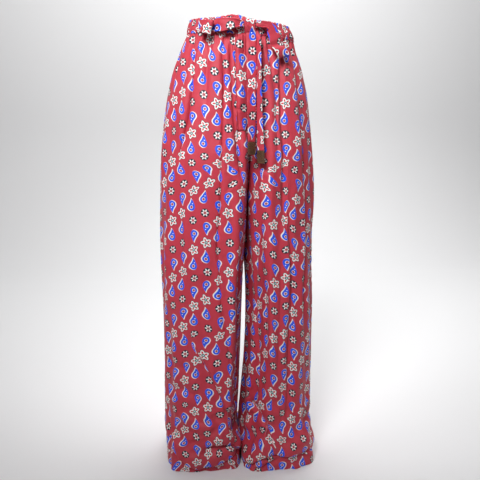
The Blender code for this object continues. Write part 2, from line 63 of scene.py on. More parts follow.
# ---- sizes of the finished cloth ----
CLOTH = 0.0007  # panel cloth as a shell
SEAM_HALF = 0.00002  # each panel's distance from a seam's plane
TIE_CLOTH = 0.0017  # the belt: a flat tube of cloth, pressed
FLY_DIP = 0.0130  # how far the front falls back along the fly, between the pleats
FLY_DIP_WIDTH = {-1: 0.026, 1: 0.020}  # how far that reaches on each side of the centre seam
SIDE_TUCK = 0.0008  # how far each edge of a panel is drawn in by its seam
INNER_TUCK = 0.0007
BAND_TUCK = 0.0014
TUCK_WIDTH = 0.0022
PLACKET_LIFT = 0.0004
PLACKET_CLOTH = 0.0011
HEM_DEPTH = 0.022
THREAD = 0.00022  # radius
STITCH = 0.0022
STITCH_PITCH = 0.0030
STITCH_SIDES = 5
STITCH_RINGS = ((-0.5, 0.25), (-0.3, 1.0), (0.3, 1.0), (0.5, 0.25))  # place along a stitch, and thickness

# ---- outline of the body, one row for each height ----
Body = namedtuple("Body", "z wearer_right wearer_left front back")
BODY = [
    Body(0.016, -0.1020, 0.1100, -0.085, 0.090),
    Body(-0.018, -0.1105, 0.1245, -0.088, 0.094),
    Body(-0.040, -0.1205, 0.1300, -0.093, 0.100),
    Body(-0.061, -0.1290, 0.1385, -0.098, 0.106),
    Body(-0.104, -0.1450, 0.1505, -0.104, 0.116),
    Body(-0.147, -0.1555, 0.1590, -0.108, 0.122),
    Body(-0.191, -0.1625, 0.1620, -0.110, 0.125),
    Body(-0.257, -0.1705, 0.1680, -0.110, 0.121),
    Body(-0.371, -0.1750, 0.1730, -0.108, 0.115),
]

# ---- outline of the legs. mid is the plane between them, gap the distance from it to each leg, a ridge is
# where a leg's front stands out most. A larger square makes the leg's section boxier: right_square and
# left_square shape the inner side of each leg, outer_square the outer sides ----
Legs = namedtuple(
    "Legs",
    "z mid gap right_out right_ridge left_ridge left_out right_front left_front back "
    "right_square left_square outer_square",
)
LEGS = [
    Legs(0.016, 0.011, 0.0002, -0.1020, -0.022, 0.044, 0.1100, -0.085, -0.085, 0.090, 3.0, 3.0, 2.0),
    Legs(-0.120, 0.014, 0.0002, -0.1500, -0.026, 0.052, 0.1540, -0.106, -0.106, 0.118, 3.0, 3.0, 2.0),
    Legs(-0.200, 0.016, 0.0002, -0.1640, -0.025, 0.056, 0.1630, -0.110, -0.110, 0.125, 3.2, 3.0, 2.0),
    Legs(-0.260, 0.017, 0.0002, -0.1705, -0.022, 0.058, 0.1680, -0.111, -0.111, 0.121, 3.2, 2.8, 2.0),
    Legs(-0.370, 0.014, 0.0010, -0.1750, -0.023, 0.057, 0.1730, -0.108, -0.108, 0.115, 3.0, 2.2, 2.0),
    Legs(-0.490, 0.0125, 0.0012, -0.1775, -0.023, 0.060, 0.1735, -0.106, -0.106, 0.112, 1.8, 1.5, 2.0),
    Legs(-0.560, 0.0138, 0.0034, -0.1765, -0.024, 0.063, 0.1740, -0.105, -0.105, 0.110, 1.35, 1.2, 2.0),
    Legs(-0.640, 0.0136, 0.0044, -0.1755, -0.025, 0.064, 0.1755, -0.105, -0.105, 0.110, 1.15, 1.1, 2.0),
    Legs(-0.740, 0.0102, 0.0040, -0.1750, -0.029, 0.061, 0.1785, -0.105, -0.105, 0.110, 1.1, 1.05, 2.0),
    Legs(-0.840, 0.0040, 0.0016, -0.1770, -0.035, 0.055, 0.1780, -0.106, -0.106, 0.110, 1.1, 1.05, 2.1),
    Legs(-0.900, 0.0000, 0.0008, -0.1765, -0.040, 0.050, 0.1775, -0.107, -0.111, 0.112, 1.2, 1.15, 2.4),
    Legs(-0.945, 0.0000, 0.0014, -0.1750, -0.041, 0.047, 0.1750, -0.102, -0.115, 0.114, 2.1, 1.9, 3.6),
    Legs(-0.995, 0.0000, 0.0014, -0.1725, -0.042, 0.045, 0.1740, -0.097, -0.116, 0.115, 4.5, 4.5, 5.5),
]

# ---- the crotch seam: how much of the way from the front (or back) to the inseam it has run ----
CrotchSeam = namedtuple("CrotchSeam", "z share")
CROTCH_SEAM = [
    CrotchSeam(0.016, 0.0),
    CrotchSeam(-0.100, 0.0),
    CrotchSeam(-0.180, 0.08),
    CrotchSeam(-0.230, 0.24),
    CrotchSeam(-0.265, 0.50),
    CrotchSeam(-0.285, 0.78),
    CrotchSeam(CROTCH_Z, 1.0),
    CrotchSeam(-0.400, 1.0),
    CrotchSeam(-0.995, 1.0),
]

# ---- grid of a panel: row steps, shorter where the cloth bends most ----
RowStep = namedtuple("RowStep", "z_top z_foot step")
ROW_STEPS = [
    RowStep(-0.0163, -0.300, 0.0030),
    RowStep(-0.300, -0.790, 0.0085),
    RowStep(-0.790, -0.900, 0.0037),
    RowStep(-0.900, FLOOR_Z, 0.0021),
]
FRONT_COLUMNS = 206
BACK_COLUMNS = 190
OUTLINE_POINTS = 220
DEEP = -0.0049  # troughs at least this deep draw the columns together
SHORT = 0.05  # but not those that run down by less than this
DRAWN = 1.9  # how many more columns lie over such a trough
DRAWN_WIDTH = 0.0055

# ---- long folds, creases and buckles of the front and back: each a path of places (x, z). A depth below zero
# is a trough, lean pushes the cloth beside a fold over it, and a step has one side up and the other down ----
Fold = namedtuple("Fold", "depth half_width path lean step", defaults=(0.0, 0.0))
FRONT_FOLDS = [
    # wearer's right, from the side to the fly
    Fold(-0.0066, 0.0049, [(-0.098, -0.020), (-0.104, -0.090), (-0.114, -0.170),
        (-0.140, -0.290)], lean=0.0030),
    Fold(-0.0035, 0.0080, [(-0.124, -0.050), (-0.146, -0.140), (-0.158, -0.260)]),
    Fold(-0.0045, 0.0064, [(-0.074, -0.020), (-0.076, -0.080), (-0.078, -0.180)]),
    Fold(-0.0062, 0.0035, [(-0.042, -0.020), (-0.044, -0.110), (-0.047, -0.220), (-0.051, -0.337),
        (-0.052, -0.371), (-0.060, -0.450), (-0.057, -0.520)], lean=0.0020),
    Fold(-0.0047, 0.0035, [(-0.062, -0.430), (-0.055, -0.500), (-0.053, -0.554), (-0.050, -0.590),
        (-0.044, -0.640), (-0.035, -0.690), (-0.030, -0.770)], lean=0.0020),
    Fold(-0.0075, 0.0035, [(-0.030, -0.018), (-0.029, -0.080), (-0.026, -0.140), (-0.022, -0.200),
        (-0.013, -0.262), (-0.004, -0.320)], lean=0.0025),
    Fold(-0.0050, 0.0045, [(-0.018, -0.018), (-0.017, -0.090), (-0.015, -0.160), (-0.010, -0.230),
        (0.000, -0.300)], lean=0.0020),
    # the fly's bars of stitching
    Fold(-0.0022, 0.0032, [(-0.022, -0.054), (-0.010, -0.056), (0.003, -0.055)]),
    Fold(-0.0024, 0.0032, [(-0.022, -0.098), (-0.010, -0.100), (0.003, -0.099)]),
    Fold(-0.0022, 0.0032, [(-0.022, -0.131), (-0.010, -0.133), (0.003, -0.132)]),
    Fold(-0.0024, 0.0032, [(-0.022, -0.166), (-0.010, -0.168), (0.003, -0.167)]),
    # the right leg
    Fold(0.0050, 0.0300, [(-0.096, -0.230), (-0.100, -0.350), (-0.101, -0.470), (-0.104, -0.560)]),
    Fold(0.0035, 0.0120, [(-0.024, -0.290), (-0.019, -0.400), (-0.017, -0.490), (-0.026, -0.579),
        (-0.022, -0.672), (-0.020, -0.800)]),
    Fold(-0.0030, 0.0080, [(-0.128, -0.330), (-0.132, -0.430), (-0.126, -0.560)]),
    Fold(0.0026, 0.0050, [(-0.176, -0.495), (-0.144, -0.504), (-0.121, -0.503), (-0.084, -0.510),
        (-0.052, -0.517)], step=0.7),
    Fold(0.0020, 0.0040, [(-0.122, -0.576), (-0.131, -0.604), (-0.139, -0.634)], step=0.6),
    Fold(-0.0070, 0.0110, [(-0.179, -0.752), (-0.146, -0.745), (-0.118, -0.752), (-0.098, -0.768)]),
    Fold(-0.0052, 0.0034, [(-0.116, -0.680), (-0.102, -0.706), (-0.090, -0.728), (-0.077, -0.752),
        (-0.066, -0.776), (-0.056, -0.800), (-0.045, -0.834), (-0.040, -0.866)], lean=0.0030),
    Fold(0.0045, 0.0080, [(-0.106, -0.676), (-0.090, -0.706), (-0.076, -0.732), (-0.063, -0.756),
        (-0.052, -0.780), (-0.042, -0.806), (-0.032, -0.840)]),
    Fold(-0.0040, 0.0070, [(-0.112, -0.712), (-0.092, -0.744), (-0.074, -0.780), (-0.060, -0.820)]),
    Fold(0.0022, 0.0050, [(-0.088, -0.640), (-0.076, -0.680), (-0.064, -0.736)], step=0.4),
    Fold(-0.0070, 0.0120, [(-0.180, -0.810), (-0.150, -0.800), (-0.112, -0.806), (-0.090, -0.820)]),
    Fold(-0.0075, 0.0110, [(-0.174, -0.846), (-0.168, -0.890), (-0.164, -0.922)]),
    Fold(-0.0085, 0.0100, [(-0.162, -0.890), (-0.145, -0.914), (-0.122, -0.920), (-0.104, -0.906)]),
    Fold(0.0050, 0.0120, [(-0.146, -0.850), (-0.120, -0.872), (-0.092, -0.878), (-0.060, -0.872)]),
    Fold(0.0025, 0.0045, [(-0.062, -0.852), (-0.052, -0.880), (-0.050, -0.905)], step=0.5),
    # round the crotch
    Fold(-0.0040, 0.0056, [(-0.018, -0.205), (-0.018, -0.250), (-0.012, -0.282), (-0.003, -0.318)]),
    Fold(0.0022, 0.0040, [(-0.040, -0.318), (-0.026, -0.296), (-0.008, -0.284)], step=0.5),
    Fold(0.0020, 0.0040, [(-0.046, -0.352), (-0.026, -0.330), (-0.004, -0.312)], step=0.5),
    Fold(0.0022, 0.0040, [(0.066, -0.330), (0.050, -0.304), (0.034, -0.288)], step=0.5),
    Fold(0.0018, 0.0045, [(0.070, -0.366), (0.052, -0.336), (0.036, -0.314)], step=0.5),
    # wearer's left, from the fly to the side
    Fold(-0.0075, 0.0032, [(0.030, -0.018), (0.031, -0.080), (0.034, -0.150), (0.040, -0.240),
        (0.036, -0.300)], lean=0.0030),
    Fold(0.0045, 0.0100, [(0.052, -0.050), (0.055, -0.210), (0.055, -0.379), (0.060, -0.467), (0.062, -0.580),
        (0.060, -0.700), (0.060, -0.820)]),
    Fold(-0.0030, 0.0048, [(0.066, -0.090), (0.068, -0.180), (0.067, -0.300)]),
    Fold(-0.0074, 0.0038, [(0.079, -0.024), (0.080, -0.110), (0.082, -0.210), (0.086, -0.300),
        (0.090, -0.400), (0.100, -0.450)], lean=-0.0040),
    Fold(-0.0075, 0.0044, [(0.092, -0.350), (0.104, -0.440), (0.110, -0.530), (0.110, -0.610),
        (0.107, -0.716), (0.106, -0.800), (0.103, -0.870), (0.106, -0.925)], lean=-0.0035),
    Fold(-0.0050, 0.0072, [(0.112, -0.030), (0.122, -0.120), (0.132, -0.240), (0.138, -0.360)]),
    Fold(0.0040, 0.0140, [(0.100, -0.060), (0.106, -0.180), (0.112, -0.300)]),
    Fold(-0.0045, 0.0064, [(0.144, -0.300), (0.146, -0.420), (0.142, -0.540), (0.146, -0.660)]),
    Fold(0.0045, 0.0130, [(0.134, -0.400), (0.136, -0.560), (0.134, -0.720), (0.136, -0.880)]),
    Fold(-0.0050, 0.0056, [(0.036, -0.420), (0.034, -0.540), (0.036, -0.640), (0.040, -0.740),
        (0.038, -0.830)]),
    Fold(-0.0042, 0.0064, [(0.082, -0.470), (0.083, -0.580), (0.080, -0.700), (0.078, -0.790)]),
    Fold(0.0026, 0.0050, [(0.070, -0.800), (0.086, -0.830), (0.094, -0.862), (0.100, -0.900)], step=0.6),
    Fold(-0.0065, 0.0090, [(0.020, -0.846), (0.040, -0.866), (0.062, -0.896), (0.070, -0.930)]),
    Fold(0.0030, 0.0060, [(0.174, -0.828), (0.158, -0.850), (0.140, -0.862), (0.122, -0.860)], step=0.5),
    Fold(-0.0070, 0.0100, [(0.180, -0.880), (0.160, -0.894), (0.140, -0.890)]),
    Fold(0.0050, 0.0120, [(0.150, -0.920), (0.120, -0.916), (0.090, -0.922)]),
    Fold(0.0020, 0.0040, [(0.160, -0.500), (0.140, -0.512), (0.122, -0.516)], step=0.5),
]
BACK_FOLDS = [
    Fold(-0.0059, 0.0053, [(-0.092, -0.020), (-0.102, -0.120), (-0.116, -0.260),
        (-0.126, -0.420)], lean=0.0025),
    Fold(-0.0040, 0.0072, [(-0.120, -0.040), (-0.140, -0.160), (-0.150, -0.300)]),
    Fold(-0.0059, 0.0040, [(-0.052, -0.020), (-0.056, -0.120), (-0.058, -0.260), (-0.062, -0.420),
        (-0.066, -0.600)]),
    Fold(-0.0050, 0.0056, [(-0.020, -0.020), (-0.020, -0.110), (-0.022, -0.210)]),
    Fold(0.0050, 0.0160, [(-0.026, -0.200), (-0.032, -0.380), (-0.036, -0.600), (-0.040, -0.860)]),
    Fold(-0.0047, 0.0047, [(-0.090, -0.420), (-0.096, -0.560), (-0.090, -0.700),
        (-0.096, -0.850)], lean=0.0020),
    Fold(-0.0050, 0.0072, [(-0.128, -0.470), (-0.124, -0.620), (-0.130, -0.780)]),
    Fold(0.0028, 0.0050, [(-0.150, -0.530), (-0.110, -0.545), (-0.070, -0.536), (-0.040, -0.548)], step=0.6),
    Fold(0.0022, 0.0045, [(-0.060, -0.480), (-0.086, -0.505), (-0.118, -0.512)], step=0.6),
    Fold(0.0030, 0.0045, [(-0.040, -0.700), (-0.064, -0.745), (-0.090, -0.790), (-0.104, -0.842)], step=0.5),
    Fold(-0.0045, 0.0096, [(-0.150, -0.820), (-0.110, -0.835), (-0.070, -0.822)]),
    Fold(-0.0050, 0.0088, [(-0.040, -0.880), (-0.076, -0.902), (-0.112, -0.894)]),
    Fold(0.0024, 0.0040, [(-0.046, -0.330), (-0.024, -0.300), (0.004, -0.284)], step=0.5),
    Fold(0.0022, 0.0045, [(-0.056, -0.370), (-0.030, -0.336), (0.002, -0.310)], step=0.5),
    Fold(0.0024, 0.0040, [(0.078, -0.336), (0.052, -0.302), (0.026, -0.286)], step=0.5),
    Fold(0.0020, 0.0045, [(0.084, -0.376), (0.058, -0.340), (0.030, -0.312)], step=0.5),
    Fold(-0.0055, 0.0044, [(0.046, -0.020), (0.050, -0.130), (0.056, -0.250), (0.060, -0.360)]),
    Fold(0.0050, 0.0150, [(0.062, -0.260), (0.066, -0.420), (0.066, -0.620), (0.070, -0.860)]),
    Fold(-0.0062, 0.0049, [(0.094, -0.020), (0.104, -0.130), (0.116, -0.270), (0.126, -0.420),
        (0.124, -0.540)], lean=-0.0025),
    Fold(-0.0045, 0.0072, [(0.128, -0.060), (0.144, -0.180), (0.152, -0.320)]),
    Fold(-0.0051, 0.0047, [(0.098, -0.500), (0.102, -0.620), (0.096, -0.760), (0.104, -0.870)]),
    Fold(-0.0050, 0.0064, [(0.042, -0.440), (0.038, -0.580), (0.044, -0.720)]),
    Fold(0.0040, 0.0120, [(0.136, -0.420), (0.138, -0.600), (0.134, -0.800)]),
    Fold(0.0028, 0.0050, [(0.158, -0.520), (0.124, -0.534), (0.090, -0.528)], step=0.6),
    Fold(0.0030, 0.0045, [(0.150, -0.690), (0.126, -0.740), (0.098, -0.790), (0.086, -0.838)], step=0.5),
    Fold(-0.0045, 0.0096, [(0.160, -0.840), (0.120, -0.852), (0.080, -0.842)]),
    Fold(-0.0050, 0.0088, [(0.050, -0.886), (0.090, -0.908), (0.130, -0.900)]),
]

# ---- lips above the floor, where a leg's cloth hangs over itself. A lip runs across a panel from its side
# seam to its inseam, through places given by x and z, and strength fades it in and out ----
Lip = namedtuple("Lip", "x z strength")
FRONT_LIPS = [
    [Lip(-0.1760, -0.918, 0.55), Lip(-0.163, -0.931, 0.8), Lip(-0.150, -0.949, 1.0),
     Lip(-0.132, -0.965, 1.0), Lip(-0.106, -0.975, 1.0), Lip(-0.079, -0.971, 1.0), Lip(-0.052, -0.963, 1.0),
     Lip(-0.025, -0.954, 0.8), Lip(-0.0016, -0.952, 0.55)],
    [Lip(-0.104, -0.950, 0.0), Lip(-0.081, -0.926, 0.55), Lip(-0.066, -0.916, 0.9), Lip(-0.047, -0.914, 1.0),
     Lip(-0.031, -0.923, 1.0), Lip(-0.018, -0.938, 0.9), Lip(-0.0016, -0.946, 0.0)],
    [Lip(0.1860, -0.952, 0.35), Lip(0.164, -0.956, 0.7), Lip(0.138, -0.951, 1.0), Lip(0.116, -0.949, 1.0),
     Lip(0.094, -0.950, 1.0), Lip(0.072, -0.944, 1.0), Lip(0.050, -0.947, 1.0), Lip(0.031, -0.959, 1.0),
     Lip(0.015, -0.972, 0.9), Lip(0.0016, -0.972, 0.55)],
    [Lip(0.082, -0.962, 0.0), Lip(0.061, -0.966, 0.5), Lip(0.045, -0.972, 0.7), Lip(0.029, -0.980, 0.5),
     Lip(0.016, -0.984, 0.0)],
]
BACK_LIPS = [
    [Lip(-0.1760, -0.918, 0.55), Lip(-0.160, -0.926, 0.8), Lip(-0.132, -0.948, 1.0),
     Lip(-0.098, -0.960, 1.0), Lip(-0.064, -0.954, 1.0), Lip(-0.034, -0.950, 0.8),
     Lip(-0.0016, -0.952, 0.55)],
    [Lip(-0.130, -0.905, 0.0), Lip(-0.096, -0.912, 0.6), Lip(-0.062, -0.920, 0.7), Lip(-0.030, -0.914, 0.0)],
    [Lip(0.1860, -0.952, 0.35), Lip(0.166, -0.962, 0.7), Lip(0.128, -0.970, 1.0), Lip(0.090, -0.958, 1.0),
     Lip(0.052, -0.958, 1.0), Lip(0.026, -0.968, 0.8), Lip(0.0016, -0.972, 0.55)],
    [Lip(0.150, -0.918, 0.0), Lip(0.118, -0.914, 0.7), Lip(0.084, -0.922, 0.6), Lip(0.052, -0.912, 0.0)],
]
# humps over and under a lip's line: the cloth swells out over it, tucks in under it, and drops on to it
Hump = namedtuple("Hump", "size above half_height")
LIP_SWELL = Hump(0.0110, 0.015, 0.014)
LIP_TUCK = Hump(0.0145, -0.0015, 0.0055)
LIP_DROP = Hump(0.0130, 0.006, 0.0085)
LIP_RISE = Hump(0.0035, -0.0065, 0.006)

# ---- gathers under the waistband: groups from fine to broad, as many to a panel ----
Gathers = namedtuple("Gathers", "count depth half_width run")
GATHERS = [
    Gathers(17, 0.0036, 0.0021, 0.026),
    Gathers(10, 0.0046, 0.0029, 0.060),
    Gathers(5, 0.0036, 0.0042, 0.140),
]

# ---- ripples between the folds ----
Ripple = namedtuple("Ripple", "zone height pitch_across pitch_down count")
RIPPLES = [
    Ripple("hang", 0.0019, 0.055, 0.60, 5),
    Ripple("hang", 0.0008, 0.026, 0.32, 5),
    Ripple("low", 0.0022, 0.120, 0.050, 5),
    Ripple("low", 0.0008, 0.060, 0.024, 5),
    Ripple("knee", 0.0006, 0.090, 0.024, 4),
]

# ---- the belt. x is along the waist ring, lift is the distance out from it, and the width columns point
# from a strand's lower edge to its upper edge: along the ring, up the cloth and out from it ----
Strand = namedtuple("Strand", "x z lift width width_along width_up width_out", defaults=(1.0, 0.0))
LOOP_RIGHT = [
    Strand(0.0004, 0.0000, 0.0105, 0.0100, -0.06),
    Strand(-0.0063, 0.0004, 0.0140, 0.0138, -0.06),
    Strand(-0.0145, 0.0003, 0.0165, 0.0190, -0.06),
    Strand(-0.0252, -0.0017, 0.0170, 0.0236, -0.07),
    Strand(-0.0365, -0.0036, 0.0160, 0.0255, -0.11, 0.99),
    Strand(-0.0435, -0.0047, 0.0138, 0.0253, -0.12, 0.99),
    Strand(-0.0495, -0.0052, 0.0106, 0.0245, -0.03),
    Strand(-0.0556, -0.0059, 0.0088, 0.0239, 0.03),
    Strand(-0.0590, -0.0082, 0.0118, 0.0245, 0.12, 0.99),
    Strand(-0.0575, -0.0111, 0.0175, 0.0261, 0.19, 0.98),
    Strand(-0.0560, -0.0132, 0.0230, 0.0277, 0.25, 0.97),
    Strand(-0.0600, -0.0139, 0.0264, 0.0290, 0.20, 0.98),
    Strand(-0.0680, -0.0104, 0.0240, 0.0256, 0.07),
    Strand(-0.0756, -0.0060, 0.0180, 0.0190, -0.05),
    Strand(-0.0806, -0.0036, 0.0116, 0.0165, -0.12, 0.99),
    Strand(-0.0800, -0.0036, 0.0072, 0.0180, -0.16, 0.99),
    Strand(-0.0720, -0.0034, 0.0053, 0.0210, -0.12, 0.99),
    Strand(-0.0560, -0.0016, 0.0048, 0.0225, -0.08),
    Strand(-0.0300, 0.0020, 0.0048, 0.0205, 0.0),
    Strand(-0.0028, 0.0030, 0.0044, 0.0110, 0.0),
]
LOOP_LEFT = [
    Strand(0.0238, 0.0018, 0.0090, 0.0100, -0.05),
    Strand(0.0341, 0.0022, 0.0135, 0.0130, -0.04),
    Strand(0.0447, 0.0008, 0.0160, 0.0136, 0.05),
    Strand(0.0525, -0.0060, 0.0168, 0.0200, 0.68, 0.73),
    Strand(0.0545, -0.0172, 0.0170, 0.0262, 0.90, 0.43),
    Strand(0.0577, -0.0290, 0.0176, 0.0275, 0.93, 0.36),
    Strand(0.0618, -0.0387, 0.0148, 0.0262, 0.95, 0.31),
    Strand(0.0652, -0.0478, 0.0190, 0.0262, 0.96, 0.26),
    Strand(0.0704, -0.0556, 0.0184, 0.0270, 0.97, 0.22),
    Strand(0.0762, -0.0600, 0.0142, 0.0250, 0.98, 0.18),
    Strand(0.0784, -0.0572, 0.0096, 0.0235, 0.98, 0.20),
    Strand(0.0764, -0.0440, 0.0072, 0.0228, 0.96, 0.28),
    Strand(0.0690, -0.0200, 0.0063, 0.0212, 0.85, 0.5),
    Strand(0.0500, -0.0010, 0.0055, 0.0180, 0.2),
    Strand(0.0238, 0.0020, 0.0042, 0.0110, 0.0),
]
TIE_WIDTH = 0.0195
TAIL_A = [
    Strand(0.0132, -0.0166, 0.0094, 0.0206, 1.0, 0.0),
    Strand(0.0138, -0.0330, 0.0078, 0.0206, 1.0, 0.0),
    Strand(0.0138, -0.0650, 0.0062, 0.0204, 1.0, 0.0, -0.1),
    Strand(0.0132, -0.1200, 0.0058, TIE_WIDTH, 0.97, 0.0, -0.20),
    Strand(0.0130, -0.1800, 0.0070, TIE_WIDTH, 0.90, 0.0, -0.40),
    Strand(0.0128, -0.2340, 0.0084, TIE_WIDTH, 0.84, 0.0, -0.54),
]
TAIL_B = [
    Strand(0.0262, -0.0125, 0.0070, 0.0070, 1.0, 0.0),
    Strand(0.0275, -0.0290, 0.0090, 0.0130, 0.6, 0.0, 0.8),
    Strand(0.0270, -0.0620, 0.0112, TIE_WIDTH, 0.3, 0.0, 0.95),
    Strand(0.0272, -0.1300, 0.0112, TIE_WIDTH, 0.3, 0.0, 0.95),
    Strand(0.0288, -0.2000, 0.0112, TIE_WIDTH, 0.42, 0.0, 0.9),
    Strand(0.0308, -0.2520, 0.0108, TIE_WIDTH, 0.55, 0.0, 0.83),
]
Wrap = namedtuple("Wrap", "z right_edge left_edge front_lift")
KNOT = [
    Wrap(-0.0160, 0.0026, 0.0234, 0.0106),
    Wrap(-0.0110, 0.0012, 0.0233, 0.0136),
    Wrap(-0.0050, 0.0002, 0.0228, 0.0158),
    Wrap(0.0010, 0.0000, 0.0222, 0.0166),
    Wrap(0.0070, 0.0006, 0.0216, 0.0158),
    Wrap(0.0115, 0.0014, 0.0208, 0.0130),
    Wrap(0.0138, 0.0030, 0.0196, 0.0085),
]
KNOT_BACK_LIFT = 0.0013
KNOT_CLOTH = 0.0022
TAIL_A_PLACE = np.array([0.0120, 0.0205])  # where on the flat cloth the knot passes into tail A
TIP_WIDTH = 0.0198
TIP_THICKNESS = 0.0040
TIP_LENGTH = 0.0265


# ======================= curves and outlines =======================


def smooth(a, b, value):
    """0 at a, 1 at b, with a smooth run between them. a may be the larger."""
    t = np.clip((value - a) / (b - a), 0.0, 1.0)
    return t * t * (3.0 - 2.0 * t)


def bump(value):
    """A smooth hump of height 1 and half width 1."""
    return np.exp(-(value**2))


def cleft(value):
    """A valley of depth 1 with a sharp foot, that reaches 2.4 each way."""
    sides = np.clip(1.0 - (np.sqrt(value**2 + 0.09) - 0.30) / 2.4, 0.0, 1.0)
    return sides * sides * sides


def unit(vectors):
    """Vectors at length 1, along the last axis."""
    return vectors / np.linalg.norm(vectors, axis=-1, keepdims=True)


def totals(steps, axis=0):
    """Running totals of steps along one axis, from 0."""
    start = np.zeros_like(np.take(steps, [0], axis=axis))
    return np.concatenate([start, np.cumsum(steps, axis=axis)], axis=axis)


def edge_lengths(points, axis):
    """Lengths of the edges between neighbouring points along one axis."""
    return np.linalg.norm(np.diff(points, axis=axis), axis=-1)


def read_at(where, run, columns):
    """Columns of values along a run, read at other places on it."""
    return np.stack([np.interp(where, run, column) for column in columns.T], axis=-1)


def full_turn(count):
    """Angles at even steps round a circle."""
    return np.linspace(0.0, 2 * np.pi, count, endpoint=False)


def boxy(angle, across_power, deep_power):
    """Places across and deep on a unit circle, pushed out towards a square where the powers are small."""
    c, s = np.cos(angle), np.sin(angle)
    return np.sign(c) * np.abs(c) ** across_power, np.sign(s) * np.abs(s) ** deep_power


def through(knots, values, at):
    """A smooth curve through values at rising knots, read at one place."""
    slopes = np.gradient(values, knots, axis=0)
    i = int(np.clip(np.searchsorted(knots, at) - 1, 0, len(knots) - 2))
    step = knots[i + 1] - knots[i]
    t = float(np.clip((at - knots[i]) / step, 0.0, 1.0))
    from_start = (1 + 2 * t) * (1 - t) ** 2 * values[i] + t * (1 - t) ** 2 * step * slopes[i]
    return from_start + t * t * (3 - 2 * t) * values[i + 1] + t * t * (t - 1) * step * slopes[i + 1]


def at_height(table, column, z):
    """A column of an outline table at height z."""
    heights = np.array([row.z for row in reversed(table)])
    return through(heights, np.array([getattr(row, column) for row in reversed(table)]), z)


def run_along(points):
    """Distance along a line of points from its first."""
    return totals(edge_lengths(points, 0))


def body_outline(side, facing, z, t):
    """Half ellipse from the side seam (t = 0) to the centre front or back (t = 1)."""
    mid = at_height(LEGS, "mid", z)
    out = at_height(BODY, "wearer_left" if side > 0 else "wearer_right", z)
    depth = at_height(BODY, "back" if facing > 0 else "front", z)
    angle = t * np.pi / 2
    return np.stack([mid + (out - mid) * np.cos(angle), depth * np.sin(angle)], axis=1)


def leg_gap(z):
    """Distance of each side's cloth from the plane between the legs: the two sides meet above the crotch."""
    return SEAM_HALF + at_height(LEGS, "gap", z) * smooth(CROTCH_Z, CROTCH_Z - 0.03, z)


def leg_outline(side, facing, z, t, seam_share):
    """Part of a leg tube, from the side seam round to the crotch seam, or below the crotch to the inseam."""
    inner = at_height(LEGS, "mid", z) + side * leg_gap(z)
    out = at_height(LEGS, "left_out" if side > 0 else "right_out", z)
    ridge = at_height(LEGS, "left_ridge" if side > 0 else "right_ridge", z)
    front, square = ("left_front", "left_square") if side > 0 else ("right_front", "right_square")
    depth = at_height(LEGS, "back" if facing > 0 else front, z)
    power, outer_power = (2.0 / at_height(LEGS, name, z) for name in (square, "outer_square"))
    angle = t * (np.pi - np.arcsin((1 - seam_share) ** (1 / power)))
    cosine, sine = np.cos(angle), np.sin(angle)
    outer_part = angle <= np.pi / 2
    outer_reach = np.abs(cosine) ** outer_power * (out - ridge)
    inner_reach = np.abs(cosine) ** power * (inner - ridge)
    x = ridge + np.where(outer_part, outer_reach, inner_reach)
    y = depth * np.abs(sine) ** np.where(outer_part, outer_power, power)
    return np.stack([x, y], axis=1)


def outline(side, facing, z):
    """Half the garment's outline at height z, from the side seam to its centre seam or inseam."""
    t = np.linspace(0.0, 1.0, OUTLINE_POINTS)
    share = float(np.clip(at_height(CROTCH_SEAM, "share", z), 0.0, 1.0)) if z > CROTCH_Z else 1.0
    leg = smooth(-0.10, -0.26, z)
    points = (1 - leg) * body_outline(side, facing, z, t) + leg * leg_outline(side, facing, z, t, share)
    edge_x = at_height(LEGS, "mid", z) + side * leg_gap(z)
    edge_y = (1 - share) * at_height(BODY, "back" if facing > 0 else "front", max(z, BODY[-1].z))
    return points + (np.array([edge_x, edge_y]) - points[-1]) * smooth(0.6, 1.0, t)[:, None]


def slanted(x, z):
    """Height after the waist's slant, which fades out on the way to the hips."""
    return z + WAIST_SLANT * x * smooth(SLANT_ENDS_Z, -0.02, z)


# ======================= a panel's cloth =======================


